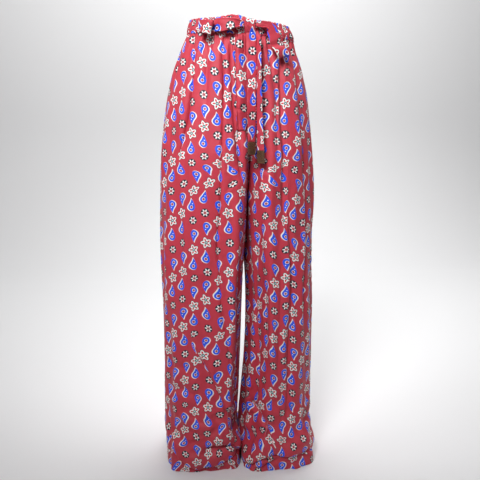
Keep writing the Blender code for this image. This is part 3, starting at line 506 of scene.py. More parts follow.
class Panel:
    """The plain surface of one leg panel as grids over its rows and columns."""

    def __init__(self, side, facing):
        self.side, self.facing = side, facing
        self.front = facing < 0
        columns = FRONT_COLUMNS if self.front else BACK_COLUMNS
        heights = [z for row in ROW_STEPS for z in np.arange(row.z_top, row.z_foot, -row.step)]
        self.heights = np.array(heights + [FLOOR_Z])
        rows = []
        for z in self.heights:
            points = outline(side, facing, z)
            tangent = np.gradient(points, axis=0)
            normal = unit(np.stack([tangent[:, 1], -tangent[:, 0]], axis=1) * side * facing)
            run = run_along(points)
            where = self.columns_over(points, run, z, columns)
            rows.append(read_at(where, run, np.column_stack([points, normal, run])))
        self.x, self.y, self.normal_x, self.normal_y, self.run = np.moveaxis(np.array(rows), 2, 0)
        self.total = self.run[:, -1:]
        self.share = self.run / self.total
        self.from_inner = self.total - self.run
        self.z = np.repeat(self.heights[:, None], columns, axis=1)

    def columns_over(self, points, run, z, columns):
        """Places of a row's columns along its run, closer together over the deep troughs."""
        close = np.ones(len(run))
        order = np.argsort(points[:, 0])
        for fold in FRONT_FOLDS if self.front else BACK_FOLDS:
            heights = np.array([place[1] for place in reversed(fold.path)])
            if fold.depth > DEEP or np.ptp(heights) < SHORT:
                continue
            x = np.interp(z, heights, [place[0] for place in reversed(fold.path)])
            if (x - points[-1, 0]) * self.side < 0:
                continue
            near = smooth(heights[0] - 0.03, heights[0], z) * smooth(heights[-1] + 0.03, heights[-1], z)
            off = run - np.interp(x, points[order, 0], run[order])
            close += DRAWN * near * bump(off / DRAWN_WIDTH)
        count = totals((close[1:] + close[:-1]) / 2 * np.diff(run))
        return np.interp(np.linspace(0.0, count[-1], columns), count, run)

    def run_at(self, x, z):
        """Distance from the side seam to the place (x, z)."""
        row = self.row_at(z)
        order = np.argsort(self.x[row])
        return float(np.interp(x, self.x[row, order], self.run[row, order]))

    def row_at(self, z):
        """The row nearest to height z."""
        return int(np.argmin(np.abs(self.heights - z)))

    def mid(self):
        """x of the plane between the legs, for each row."""
        return np.array([at_height(LEGS, "mid", z) for z in self.heights])[:, None]


def across_path(panel, path):
    """Signed distance of each grid point from a path over the panel, and how far along it that is, 0 to 1."""
    places = np.array([(panel.run_at(x, z), z) for x, z in path])
    knots = run_along(places)
    line = np.array([through(knots, places, s) for s in np.linspace(0.0, knots[-1], 5 * len(path))])
    far = np.full(panel.run.shape, np.inf)
    signed = np.zeros(panel.run.shape)
    along = np.zeros(panel.run.shape)
    for i, (a, b) in enumerate(zip(line[:-1], line[1:])):
        step = b - a
        length = np.linalg.norm(step)
        run, drop = panel.run - a[0], panel.z - a[1]
        share = np.clip((run * step[0] + drop * step[1]) / length**2, 0.0, 1.0)
        distance = np.hypot(run - share * step[0], drop - share * step[1])
        near = distance < far
        far = np.where(near, distance, far)
        signed = np.where(near, np.sign(run * step[1] - drop * step[0]) * distance, signed)
        along = np.where(near, (i + share) / (len(line) - 1), along)
    return signed, along


def fold_moves(panel, fold):
    """Outward push and sideways lean of one fold."""
    signed, along = across_path(panel, fold.path)
    ends = smooth(0.0, 0.18, along) * smooth(1.0, 0.82, along)
    off = signed / fold.half_width
    rounded = bump(off) if fold.depth > 0 else cleft(off)
    valley = rounded * (1 - fold.step) + fold.step * 1.6 * off * bump(off * 0.8)
    return fold.depth * ends * valley, fold.lean * ends * off * bump(off * 0.7)


def gather_push(panel, rng):
    """Troughs of the gathers, which start at the waistband and run down by uneven lengths."""
    below = ROW_STEPS[0].z_top - panel.z
    start = 0.45 + 0.55 * smooth(0.0, 0.008, below)
    push = np.zeros(panel.run.shape)
    for group in GATHERS:
        for k in range(group.count):
            jitter, deep, long, wide, sway = rng.uniform(-1, 1, 5)
            centre = (k + 0.5 + 0.34 * jitter) / group.count
            centre = centre + 0.010 * sway * np.sin(below * 26 + 3 * jitter) * smooth(0.0, 0.04, below)
            run = group.run * (1 + 0.55 * long)
            half_width = group.half_width * (1 + 0.30 * wide) * (1 + below / 0.09)
            fade = np.exp(-((below / run) ** 1.5))
            off = (panel.share - centre) * panel.total / half_width
            push -= group.depth * (1 + 0.5 * deep) * fade * cleft(off)
    return push * start


def waves(rng, across, down, pitch_across, pitch_down, count):
    """Soft uneven ripples about 1 high: a sum of sines of about the given pitches."""
    total = np.zeros(np.broadcast(across, down).shape)
    for _ in range(count):
        one, two, phase, lean = rng.uniform(-1, 1, 4)
        across_rate = 2 * np.pi / (pitch_across * (1 + 0.35 * one))
        down_rate = 2 * np.pi / (pitch_down * (1 + 0.35 * two)) * (1 if lean > 0 else -1)
        total += np.sin(across * across_rate + down * down_rate + np.pi * phase)
    return total / math.sqrt(count)


def lip_moves(panel):
    """Outward push and drop of the lips over the floor on this panel."""
    push, drop = np.zeros(panel.run.shape), np.zeros(panel.run.shape)
    for lip in FRONT_LIPS if panel.front else BACK_LIPS:
        if lip[0].x * panel.side < 0:
            continue
        places = sorted((panel.run_at(place.x, place.z), place.z, place.strength) for place in lip)
        runs, heights, strengths = (np.array(column) for column in zip(*places))
        runs = runs + np.arange(len(runs)) * 1e-6
        across = np.linspace(runs[0], runs[-1], 60)
        line = np.array([through(runs, heights, s) for s in across])
        over = panel.z - np.interp(panel.run, across, line)
        strength = np.interp(panel.run, runs, strengths)
        push += strength * (hump(LIP_SWELL, over) - hump(LIP_TUCK, over))
        drop += strength * (hump(LIP_DROP, over) - hump(LIP_RISE, over))
    floor = smooth(FLOOR_Z, FLOOR_Z + 0.010, panel.z)
    return push * floor, drop * floor


def hump(shape, over):
    """One hump of a lip at a height over the lip's line."""
    return shape.size * bump((over - shape.above) / shape.half_height)


def fold_sums(panel):
    """Outward push and sideways lean of all the folds on this panel."""
    push, lean = np.zeros(panel.run.shape), np.zeros(panel.run.shape)
    middle = float(panel.mid()[len(panel.z) // 2, 0])
    for fold in FRONT_FOLDS if panel.front else BACK_FOLDS:
        if (fold.path[0][0] - middle) * panel.side > 0:
            fold_push, fold_lean = fold_moves(panel, fold)
            push += fold_push
            lean += fold_lean
    return push, lean


def ripples(panel, rng):
    """Soft ripples of the hanging cloth, of the stretch above the floor and of the knee."""
    z = panel.z
    zones = {
        "hang": smooth(-0.05, -0.20, z),
        "low": smooth(-0.74, -0.88, z) * smooth(FLOOR_Z, -0.965, z),
        "knee": bump((z + 0.52) / 0.06),
    }
    push = np.zeros(z.shape)
    for ripple in RIPPLES:
        shape = waves(rng, panel.run, z, ripple.pitch_across, ripple.pitch_down, ripple.count)
        push += ripple.height * zones[ripple.zone] * shape
    return push


def cloth_points(panel, rng):
    """The panel's outer cloth with all its folds, as a grid of points (rows, columns, xyz)."""
    z, run, from_inner = panel.z, panel.run, panel.from_inner
    push, lean = fold_sums(panel)
    push += gather_push(panel, rng)
    push += ripples(panel, rng)

    # the folds fade out at the seams, and calm down near the side seam above the floor
    inner_fade = smooth(0.0, np.where(z < CROTCH_Z, 0.030, 0.012), from_inner)
    outer_fade = smooth(0.0, 0.010, run) * (1 - 0.6 * smooth(-0.78, -0.86, z) * smooth(0.050, 0.0, run))
    calm = 1 - 0.55 * smooth(-0.72, -0.78, z) * smooth(0.075, 0.020, run)
    push = push * inner_fade * (0.25 + 0.75 * outer_fade) * calm
    if panel.front:
        dip = smooth(-0.018, -0.050, z) * smooth(-0.265, -0.200, z)
        push -= FLY_DIP * dip * smooth(FLY_DIP_WIDTH[panel.side], 0.0, from_inner)
    lip_push, drop = lip_moves(panel)
    lip_push *= 0.35 + 0.65 * smooth(0.0, 0.030, from_inner)
    lip_push *= 0.25 + 0.75 * smooth(0.010, 0.060, run)
    push += lip_push

    # each edge is drawn in by its seam
    push -= SIDE_TUCK * bump(run / TUCK_WIDTH) + INNER_TUCK * bump(from_inner / TUCK_WIDTH)
    push -= BAND_TUCK * bump((z - ROW_STEPS[0].z_top) / TUCK_WIDTH)
    lean = lean * smooth(0.0, 0.02, run) * smooth(0.0, 0.02, from_inner) * panel.side * panel.facing
    x = panel.x + panel.normal_x * push - panel.normal_y * lean
    y = panel.y + panel.normal_y * push + panel.normal_x * lean
    sewn = smooth(0.006, 0.0, from_inner) * (z > CROTCH_Z)
    x += sewn * (panel.mid() + panel.side * SEAM_HALF - x)
    points = np.stack([x, y, slanted(panel.x, z) - drop * smooth(0.0, 0.02, run)], axis=2)
    return kept_apart(points, panel)


def kept_apart(points, panel):
    """Keeps a grid above the floor, on its side of the legs' middle plane and of the side seams' plane."""
    mid = panel.mid()
    points[:, :, 0] = mid + panel.side * np.maximum(panel.side * (points[:, :, 0] - mid), SEAM_HALF)
    points[:, :, 1] = panel.facing * np.maximum(panel.facing * points[:, :, 1], SEAM_HALF)
    points[:, :, 2] = np.maximum(points[:, :, 2], FLOOR_Z)
    return points


def grid_normals(grid, outward):
    """Unit normals of a grid of points (rows, columns, xyz), on the side that outward points to."""
    normal = np.cross(np.gradient(grid, axis=1), np.gradient(grid, axis=0))
    normal /= np.maximum(np.linalg.norm(normal, axis=2), 1e-12)[:, :, None]
    return normal * np.sign((normal * outward).sum())


def cloth_places(points, grain_x, u_start, v_start):
    """Places on the flat cloth, in metres, of a grid of points: the print lies by them. grain_x is where the
    cloth's straight grain hangs, from which the print's columns are counted."""
    u = totals(edge_lengths(points, 1), 1)
    for row in range(len(points)):
        nearest = np.argsort(np.abs(points[row, :, 0] - grain_x))[:8]
        u[row] -= u[row, nearest].mean()
    v = -totals(edge_lengths(points, 0))
    return np.stack([blurred(u, 9, 0) + u_start, blurred(v, 12, 1) + v_start], axis=2)


def blurred(grid, reach, axis):
    """A grid averaged over reach places each way along one axis."""
    pad = [(0, 0), (0, 0)]
    pad[axis] = (reach, reach)
    padded = np.moveaxis(np.pad(grid, pad, mode="edge"), axis, 0)
    count = grid.shape[axis]
    return np.moveaxis(np.mean([padded[k : k + count] for k in range(2 * reach + 1)], axis=0), 0, axis)


# ======================= meshes =======================


def placed(name, data):
    """A new object for a mesh, a light or a camera, linked to the scene."""
    obj = bpy.data.objects.new(name, data)
    bpy.context.scene.collection.objects.link(obj)
    return obj


def mesh_object(name, points, faces, material, places=None, inside=None):
    """A mesh object from a closed set of faces, turned outwards. places are those on the flat cloth."""
    mesh = bpy.data.meshes.new(name)
    mesh.from_pydata(points.tolist(), [], faces)
    mesh.calc_loop_triangles()
    corners = np.empty(len(mesh.loop_triangles) * 3, dtype=np.int32)
    mesh.loop_triangles.foreach_get("vertices", corners)
    if np.linalg.det(points[corners.reshape(-1, 3)]).sum() < 0:
        mesh.flip_normals()
    loops = np.empty(len(mesh.loops), dtype=np.int32)
    mesh.loops.foreach_get("vertex_index", loops)
    layer = mesh.uv_layers.new(name="cloth")
    flat = np.zeros((len(points), 2)) if places is None else places
    layer.data.foreach_set("uv", flat[loops].ravel().astype(np.float32))
    if inside is not None:
        attribute = mesh.attributes.new("inside", "FLOAT", "POINT")
        attribute.data.foreach_set("value", inside.astype(np.float32))
    mesh.shade_smooth()
    mesh.materials.append(material)
    return placed(name, mesh)


def wall_faces(rows, columns, ring):
    """Faces of a closed wall between two grids, the second stored after the first."""
    layer = rows * columns
    spans = columns if ring else columns - 1
    i, j = (grid.ravel() for grid in np.meshgrid(np.arange(rows - 1), np.arange(spans), indexing="ij"))
    k = (j + 1) % columns
    outer = np.stack([i * columns + j, i * columns + k, (i + 1) * columns + k, (i + 1) * columns + j], axis=1)
    faces = [outer, outer[:, ::-1] + layer]
    j = np.arange(spans)
    k = (j + 1) % columns
    foot = (rows - 1) * columns
    faces.append(np.stack([k, j, j + layer, k + layer], axis=1))
    faces.append(np.stack([foot + j, foot + k, foot + k + layer, foot + j + layer], axis=1))
    if not ring:
        i = np.arange(rows - 1) * columns
        last = i + columns - 1
        faces.append(np.stack([i, i + columns, i + columns + layer, i + layer], axis=1))
        faces.append(np.stack([last + columns, last, last + layer, last + columns + layer], axis=1))
    return np.concatenate(faces).tolist()


def wall_object(name, outer, inner, places, material, ring=False):
    """A closed wall between two grids of points, its inner side marked as the cloth's reverse."""
    rows, columns = outer.shape[:2]
    points = np.concatenate([outer.reshape(-1, 3), inner.reshape(-1, 3)])
    flat = np.concatenate([places.reshape(-1, 2)] * 2)
    inside = np.repeat([0.0, 1.0], rows * columns)
    return mesh_object(name, points, wall_faces(rows, columns, ring), material, flat, inside)


def tube_faces(rings, around):
    """Faces of a closed tube through rings of points, with one face on each end."""
    i, j = (grid.ravel() for grid in np.meshgrid(np.arange(rings - 1), np.arange(around), indexing="ij"))
    k = (j + 1) % around
    sides = np.stack([i * around + k, i * around + j, (i + 1) * around + j, (i + 1) * around + k], axis=1)
    last = (rings - 1) * around
    return sides.tolist() + [list(range(around)), list(reversed(range(last, last + around)))]


def keep(obj, slot, *nodes):
    """Makes a piece ride with the garment and stand for its solids."""
    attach(obj, "root")
    if nodes:
        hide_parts(*nodes)
    return obj


def stitches(name, lines, material):
    """Stitches as small beads of thread along lines of points, each given with its outward directions."""
    points, faces = [], []
    around = full_turn(STITCH_SIDES)[:, None]
    bead = tube_faces(len(STITCH_RINGS), STITCH_SIDES)
    for path, outward in lines:
        run = run_along(path)
        for start in np.arange(STITCH_PITCH / 2, run[-1] - STITCH_PITCH / 2, STITCH_PITCH):
            centre = read_at(start, run, path)
            forward = unit(read_at(start + STITCH / 2, run, path) - centre)
            out = unit(read_at(start, run, outward))
            beside = np.cross(out, forward)
            faces += [[len(points) + corner for corner in face] for face in bead]
            for reach, size in STITCH_RINGS:
                middle = centre + forward * reach * STITCH + out * THREAD * 0.5
                points.extend(middle + THREAD * size * (beside * np.cos(around) + out * np.sin(around)))
    return mesh_object(name, np.array(points), faces, material)


# ======================= materials =======================


class Field:
    """A number that varies over the cloth, held as a node's output. Arithmetic on it adds Math nodes."""

    def __init__(self, tree, socket):
        self.tree, self.socket = tree, socket

    def math(self, operation, *others):
        node = self.tree.nodes.new("ShaderNodeMath")
        node.operation = operation
        for slot, value in zip(node.inputs, (self,) + others):
            if isinstance(value, Field):
                self.tree.links.new(value.socket, slot)
            else:
                slot.default_value = value
        return Field(self.tree, node.outputs[0])

    __add__ = partialmethod(math, "ADD")
    __sub__ = partialmethod(math, "SUBTRACT")
    __mul__ = partialmethod(math, "MULTIPLY")
    __truediv__ = partialmethod(math, "DIVIDE")
    __abs__ = partialmethod(math, "ABSOLUTE")
    least = partialmethod(math, "MINIMUM")
    most = partialmethod(math, "MAXIMUM")
    whole = partialmethod(math, "FLOOR")
    rest = partialmethod(math, "FRACT")
    cosine = partialmethod(math, "COSINE")
    towards = partialmethod(math, "ARCTAN2")

    def __rsub__(self, other):
        return (self * -1.0) + other

    def root(self):
        return self.most(0.0).math("SQRT")

    def inside_of(self, soft):
        """1 where the number is above 0, 0 where it is below, with an edge as wide as soft."""
        return (self / soft + 0.5).most(0.0).least(1.0)


def set_inputs(tree, node, inputs):
    """Sets a node's inputs by name, each to a value or to the socket that feeds it."""
    for name, value in inputs.items():
        if isinstance(value, bpy.types.NodeSocket):
            tree.links.new(value, node.inputs[name])
        else:
            node.inputs[name].default_value = value


def new_node(tree, kind, inputs, **settings):
    """A new node of one kind, with its settings and its inputs."""
    node = tree.nodes.new(kind)
    for name, value in settings.items():
        setattr(node, name, value)
    set_inputs(tree, node, inputs)
    return node


def painted(tree, below, cover, colour):
    """below, with colour laid over it where cover is 1. Both may be a colour or a node's output."""
    node = new_node(tree, "ShaderNodeMix", {}, data_type="RGBA")
    tree.links.new(cover.socket, node.inputs["Factor"])
    sockets = [socket for socket in node.inputs if socket.type == "RGBA"]
    for slot, value in zip(sockets, (below, colour)):
        if isinstance(value, tuple):
            slot.default_value = (*value, 1.0)
        else:
            tree.links.new(value, slot)
    return next(socket for socket in node.outputs if socket.type == "RGBA")


# print: sizes in metres, colours as linear light
PITCH_ACROSS = 0.0285
PITCH_DOWN = 0.0325
EDGE = 0.0004  # softness of a printed edge
CRIMSON = (0.520, 0.043, 0.069)
BLUE = (0.022, 0.098, 0.780)
WHITE = (0.840, 0.810, 0.800)
TEAL = (0.008, 0.170, 0.180)
DARK = (0.010, 0.026, 0.042)
RED = (0.560, 0.022, 0.040)
REVERSE = (0.62, 0.26, 0.30)
REVERSE_SHARE = 0.42  # how much paler the cloth's reverse is
DROP_TILT = math.radians(28)


def teardrop(x, y, size):
    """Above 0 inside a drop with a round foot and a tip that curls to one side, about 2 sizes tall."""
    up = y / size
    curl = (up + 0.25).most(0.0)
    bend = curl * curl * 0.42
    half_width = (1.0 - up * up).root() * (0.62 - up * 0.36)
    return (half_width - abs(x / size - bend)).least(1.02 - abs(up)) * size


def flower(x, y, size, petals, waist):
    """Above 0 inside a flower with round petals. waist is how far in they meet."""
    reach = (x * x + y * y).root()
    petal = (y.towards(x) * float(petals)).cosine() * waist + (1.0 - waist)
    return petal * size - reach


def disc(x, y, size):
    """Above 0 inside a round spot."""
    return size - (x * x + y * y).root()


def print_colour(tree, uv):
    """The printed cloth: columns in half drop, each with drops both ways up, blossoms and rosettes."""
    split = new_node(tree, "ShaderNodeSeparateXYZ", {"Vector": uv})
    u = Field(tree, split.outputs[0]) / PITCH_ACROSS
    v = Field(tree, split.outputs[1]) / PITCH_DOWN
    column = u.whole()
    v = v + (column * 0.5).rest()
    kind = ((v.whole() + column) * 0.25).rest()
    x = (u.rest() - 0.5) * PITCH_ACROSS
    y = (v.rest() - 0.5) * PITCH_DOWN

    # each square of the repeat holds one motif: drops, blossoms and rosettes are 1 in their own squares
    over = (kind - 0.375).inside_of(0.01)
    drops = 1.0 - (abs((kind * 2.0).rest() - 0.5) * -1.0 + 0.25).inside_of(0.01)
    blossoms = (1.0 - drops) * (1.0 - over)
    rosettes = (1.0 - drops) * over
    turn = 1.0 - over * 2.0
    drop_x = (x * math.cos(DROP_TILT) + y * math.sin(DROP_TILT)) * turn
    drop_y = (y * math.cos(DROP_TILT) - x * math.sin(DROP_TILT)) * turn
    belly = drop_y + 0.0040

    colour = CRIMSON
    for shape, where, paint in (
        (teardrop(drop_x - 0.0010, drop_y, 0.0132), drops, WHITE),
        (teardrop(drop_x + 0.0003, drop_y, 0.0116), drops, BLUE),
        (disc(drop_x, belly, 0.0037), drops, WHITE),
        (disc(drop_x, belly, 0.0027), drops, RED),
        (disc(drop_x, belly, 0.0010), drops, TEAL),
        (disc(drop_x - 0.0010, drop_y - 0.0036, 0.0012), drops, WHITE),
        (flower(x, y, 0.0132, 5, 0.16), blossoms, DARK),
        (flower(x, y, 0.0122, 5, 0.19), blossoms, WHITE),
        (flower(x, y, 0.0094, 5, 0.46).least(disc(x, y, 0.0040) * -1.0), blossoms, RED),
        (disc(x, y, 0.0034), blossoms, TEAL),
        (disc(x, y, 0.0013), blossoms, WHITE),
        (disc(x, y, 0.0092), rosettes, DARK),
        (flower(x, y, 0.0082, 6, 0.30), rosettes, WHITE),
        (disc(x, y, 0.0030), rosettes, RED),
        (disc(x, y, 0.0012), rosettes, TEAL),
    ):
        colour = painted(tree, colour, shape.inside_of(EDGE) * where, paint)
    return colour


def new_material(name):
    """A new material with its node tree and its shader."""
    made = bpy.data.materials.new(name)
    made.use_nodes = True
    return made, made.node_tree, made.node_tree.nodes["Principled BSDF"]


def bumped(tree, height, strength, distance, below=None):
    """The normal of a bump, laid over another bump's normal where below is given."""
    inputs = {"Height": height, "Strength": strength, "Distance": distance}
    if below is not None:
        inputs["Normal"] = below
    return new_node(tree, "ShaderNodeBump", inputs).outputs["Normal"]


def printed_silk(name):
    """Silk twill: the print, paler on the reverse, with a fine diagonal weave and soft slubs."""
    made, tree, shader = new_material(name)
    uv = new_node(tree, "ShaderNodeUVMap", {}, uv_map="cloth").outputs["UV"]
    inside = new_node(tree, "ShaderNodeAttribute", {}, attribute_name="inside").outputs["Fac"]
    weave_size = {"Vector": uv, "Scale": 480.0, "Distortion": 0.8}
    weave = new_node(tree, "ShaderNodeTexWave", weave_size, bands_direction="DIAGONAL")
    normal = bumped(tree, weave.outputs["Fac"], 0.2, 0.0001)
    for scale, detail, distance in ((420.0, 3.0, 0.0005), (110.0, 3.0, 0.0012), (34.0, 2.0, 0.0028)):
        rumple = new_node(tree, "ShaderNodeTexNoise", {"Vector": uv, "Scale": scale, "Detail": detail})
        normal = bumped(tree, rumple.outputs["Fac"], 0.45, distance, normal)
    colour = painted(tree, print_colour(tree, uv), Field(tree, inside) * REVERSE_SHARE, REVERSE)
    shine = {"Roughness": 0.56, "Specular IOR Level": 0.30, "Sheen Weight": 0.08, "Sheen Roughness": 0.35}
    set_inputs(tree, shader, {"Base Color": colour, "Normal": normal, **shine})
    return made


def leather(name):
    """Dark brown leather with a fine pebbled grain and worn, paler patches."""
    made, tree, shader = new_material(name)
    place = new_node(tree, "ShaderNodeTexCoord", {}).outputs["Object"]
    grain = new_node(tree, "ShaderNodeTexVoronoi", {"Vector": place, "Scale": 900.0})
    patches = new_node(tree, "ShaderNodeTexNoise", {"Vector": place, "Scale": 520.0, "Detail": 6.0})
    ramp = new_node(tree, "ShaderNodeValToRGB", {"Fac": patches.outputs["Fac"]})
    dark, worn = ramp.color_ramp.elements
    dark.position = 0.35
    dark.color = (0.030, 0.014, 0.007, 1.0)
    worn.position = 0.70
    worn.color = (0.150, 0.066, 0.028, 1.0)
    normal = bumped(tree, grain.outputs["Distance"], 0.5, 0.0003)
    set_inputs(tree, shader, {"Base Color": ramp.outputs["Color"], "Normal": normal, "Roughness": 0.48})
    return made


def thread(name, colour):
    """Sewing thread: two plies that wind round each other."""
    made, tree, shader = new_material(name)
    place = new_node(tree, "ShaderNodeTexCoord", {}).outputs["Object"]
    twist_size = {"Vector": place, "Scale": 900.0}
    twist = new_node(tree, "ShaderNodeTexWave", twist_size, bands_direction="DIAGONAL")
    darker = tuple(channel * 0.55 for channel in colour)
    both = painted(tree, darker, Field(tree, twist.outputs["Fac"]), colour)
    set_inputs(tree, shader, {"Base Color": both, "Roughness": 0.6})
    return made


# ======================= pieces =======================


# where each panel begins on the flat printed cloth
PRINT_STARTS = {
    "front_right": (0.004, 0.000),
    "front_left": (0.017, 0.009),
    "back_right": (0.010, 0.021),
    "back_left": (0.023, 0.013),
}
GRAIN_X = {-1: -0.092, 1: 0.112}  # where the straight grain hangs on each side
FIRST_SEED = 40


def leg_panels(cloth):
    """The four leg panels, each a thin shell. Returns each one's panel, outer points, their normals and their
    places on the flat cloth."""
    made = {}
    for seed, (name, (u_start, v_start)) in enumerate(PRINT_STARTS.items(), FIRST_SEED):
        side = -1 if name.endswith("right") else 1
        facing = -1 if name.startswith("front") else 1
        panel = Panel(side, facing)
        outer = cloth_points(panel, np.random.default_rng(seed))
        normals = grid_normals(outer, np.array([side, facing, 0.0]))
        inner = kept_apart(outer - normals * CLOTH, panel)
        places = cloth_places(outer, GRAIN_X[side], u_start, v_start)
        places[:, :, 0] *= -side * facing  # columns count from the right on every panel, seen from outside
        obj = wall_object(name + "_cloth", outer, inner, places, cloth)
        keep(obj, "printed_silk", name)
        made[name] = (panel, outer, normals, places)
    return made


def ring_points(z, count):
    """The waist ring's plain outline at height z at even distances, anticlockwise from the wearer's left."""
    angle = np.linspace(0.0, 2 * np.pi, 1441)
    mid = at_height(LEGS, "mid", z)
    left = at_height(BODY, "wearer_left", z) - mid
    right = mid - at_height(BODY, "wearer_right", z)
    out = np.where(np.cos(angle) > 0, left, right)
    depth = np.where(np.sin(angle) > 0, at_height(BODY, "back", z), -at_height(BODY, "front", z))
    points = np.stack([mid + out * np.cos(angle), depth * np.sin(angle)], axis=1)
    run = run_along(points)
    return read_at(np.linspace(0.0, run[-1], count, endpoint=False), run, points), run[-1]


BAND_COLUMNS = 900
BAND_ROWS = 26
BAND_RUFFLES = 74
RUFFLE_DEPTH = 0.0024
RUFFLE_HALF_WIDTH = 0.0022
BAND_STITCH_ROWS = (0.16, 0.84)  # how far down the band its two rows of stitching run
BAND_EASE = 1.15  # the flat cloth is this much longer than the ruffled band
BandPeak = namedtuple("BandPeak", "x half_width rise lean")
BAND_PEAK = BandPeak(-0.018, 0.026, 0.0080, 0.0045)  # the bow's pull lifts the front of the band


def waistband(cloth):
    """The elastic waistband: a ring of uneven ruffles, pinched at two rows of stitching."""
    rng = np.random.default_rng(7)
    share = np.linspace(0.0, 1.0, BAND_COLUMNS, endpoint=False)
    heights = np.linspace(BAND_TOP_Z, BAND_FOOT_Z, BAND_ROWS)
    ruffles = rng.uniform(-1, 1, (BAND_RUFFLES, 4))
    outer, inner = [], []
    for z, down in zip(heights, np.linspace(0.0, 1.0, BAND_ROWS)):
        ring, girth = ring_points(z, BAND_COLUMNS)
        ahead = np.roll(ring, -1, axis=0) - np.roll(ring, 1, axis=0)
        normal = unit(np.stack([ahead[:, 1], -ahead[:, 0]], axis=1))
        full = np.zeros(BAND_COLUMNS)
        for k, (jitter, deep, wide, sway) in enumerate(ruffles):
            centre = (k + 0.5 + 0.36 * jitter) / BAND_RUFFLES
            centre += 0.0022 * sway * math.sin(5 * down + 3 * jitter)
            off = (share - centre + 0.5) % 1.0 - 0.5
            half_width = RUFFLE_HALF_WIDTH * (1 + 0.3 * wide)
            full -= RUFFLE_DEPTH * (1 + 0.5 * deep) * bump(off * girth / half_width)
        upper, lower = (down - row for row in BAND_STITCH_ROWS)
        pinch = 1 - 0.55 * bump(upper / 0.06) - 0.45 * bump(lower / 0.06)
        crown = 0.0016 * math.sin(np.pi * down) - 0.0012 * bump(upper / 0.05)
        crown -= 0.0012 * bump(lower / 0.05) + 0.0015 * bump((down - 1.0) / 0.06)
        pulled = bump((ring[:, 0] - BAND_PEAK.x) / BAND_PEAK.half_width)
        pulled = pulled * (ring[:, 1] < 0) * (1 - down) ** 1.5
        height = z + (full * 0.45 + 0.0004) * bump(down / 0.12) + BAND_PEAK.rise * pulled
        wall = BAND_WALL * (0.45 + 0.55 * math.sin(np.pi * np.clip(down, 0.04, 0.96)) ** 0.5)
        for points, out in ((outer, full * pinch + crown + 0.0010), (inner, 0.5 * full * pinch - wall)):
            out = (out - BAND_PEAK.lean * pulled)[:, None]
            points.append(np.column_stack([ring + normal * out, slanted(ring[:, 0], height)]))
    outer, inner = np.array(outer), np.array(inner)
    u = totals(edge_lengths(outer, 1), 1).mean(axis=0) * -BAND_EASE
    v = (heights - BAND_TOP_Z)[:, None] * 1.3 + 0.011
    places = np.stack(np.broadcast_arrays(u, v), axis=2)
    obj = wall_object("waistband_cloth", outer, inner, places, cloth, ring=True)
    keep(obj, "printed_silk", "waistband")
    return outer


FLY_PLACE = np.array([0.0145, 0.006])  # the fly strip's place on the flat cloth, against the panel's


def fly_placket(panels, cloth):
    """The mock fly: a folded strip stitched flat on the right front panel, beside the centre seam."""
    panel, outer, normals, places = panels["front_right"]
    rows = panel.row_at(FLY_FOOT_Z) + 1
    first = int(np.argmax(panel.from_inner[rows // 2] < FLY_WIDTH))
    base, out = outer[:rows, first:], normals[:rows, first:]
    lifted = base + out * (PLACKET_LIFT + PLACKET_CLOTH)
    flat = places[:rows, first:] + FLY_PLACE
    obj = wall_object("fly_cloth", lifted, base + out * PLACKET_LIFT, flat, cloth)
    keep(obj, "printed_silk", "fly_placket")
    return lifted, out


FLY_BARS = (13, 28, 38, 50, -6, -3)  # the fly's rows that carry a bar of stitching
HEM_STITCH_Z = FLOOR_Z + HEM_DEPTH


def seam_threads(panels, fly, band, sewn):
    """Stitching: the fly's edge and bars, the waistband's two rows and the hems."""
    lifted, out = fly
    lines = [(lifted[4:, 4], out[4:, 4])]
    lines += [(lifted[row, 4:-2], out[row, 4:-2]) for row in FLY_BARS]
    keep(stitches("fly_stitches", lines, sewn), "printed_silk")
    lines = []
    for panel, outer, normals, _ in panels.values():
        row = panel.row_at(HEM_STITCH_Z)
        lines.append((outer[row, 2:-2], normals[row, 2:-2]))
    keep(stitches("hem_stitches", lines, sewn), "printed_silk")
    centre = band.mean(axis=(0, 1))
    lines = []
    for down in BAND_STITCH_ROWS:
        row = band[round(down * (BAND_ROWS - 1))]
        lines.append((row, unit((row - centre) * np.array([1.0, 1.0, 0.0]))))
    keep(stitches("waistband_stitches", lines, sewn), "printed_silk")


# ---- the belt ----


def on_ring(x, z):
    """The point at x on the garment's plain front outline at height z."""
    side = 1 if x > at_height(LEGS, "mid", z) else -1
    height = min(max(z, BODY[-1].z), BODY[0].z)
    points = body_outline(side, -1, height, np.linspace(0.0, 1.0, OUTLINE_POINTS))
    order = np.argsort(points[:, 0])
    return np.array([x, np.interp(x, points[order, 0], points[order, 1]), slanted(x, z)])


def ring_frame(x, z):
    """A point on the plain front outline with the directions along the ring, out from it and up the cloth."""
    nearby = 0.002
    along = unit(on_ring(x + nearby, z) - on_ring(x - nearby, z))
    up = on_ring(x, z + nearby) - on_ring(x, z - nearby)
    out = unit(np.cross(along, up))
    return on_ring(x, z), along, out, np.cross(out, along)


def strand_frames(strands, steps):
    """Centres, width directions, facing directions and widths along a strand of the belt."""
    centres, ways = [], []
    for row in strands:
        point, along, out, up = ring_frame(row.x, row.z)
        centres.append(point + out * row.lift)
        ways.append(unit(along * row.width_along + out * row.width_out + up * row.width_up))
    centres = np.array(centres)
    knots = run_along(centres)
    widths = np.array([row.width for row in strands])
    distances = np.linspace(0.0, knots[-1], steps)
    path, across, width = (
        np.array([through(knots, values, s) for s in distances])
        for values in (centres, np.array(ways), widths)
    )
    forward = unit(np.gradient(path, axis=0))
    across = unit(across - forward * (across * forward).sum(axis=1)[:, None])
    return path, across, np.cross(forward, across), width


AROUND_TIE = 36
TIE_WALL = 0.00035
LOOP_STEPS = 170
TAIL_STEPS = 126
TIE_BACK_U = 0.0145  # how far along the flat cloth the back of the pressed tube lies from its front


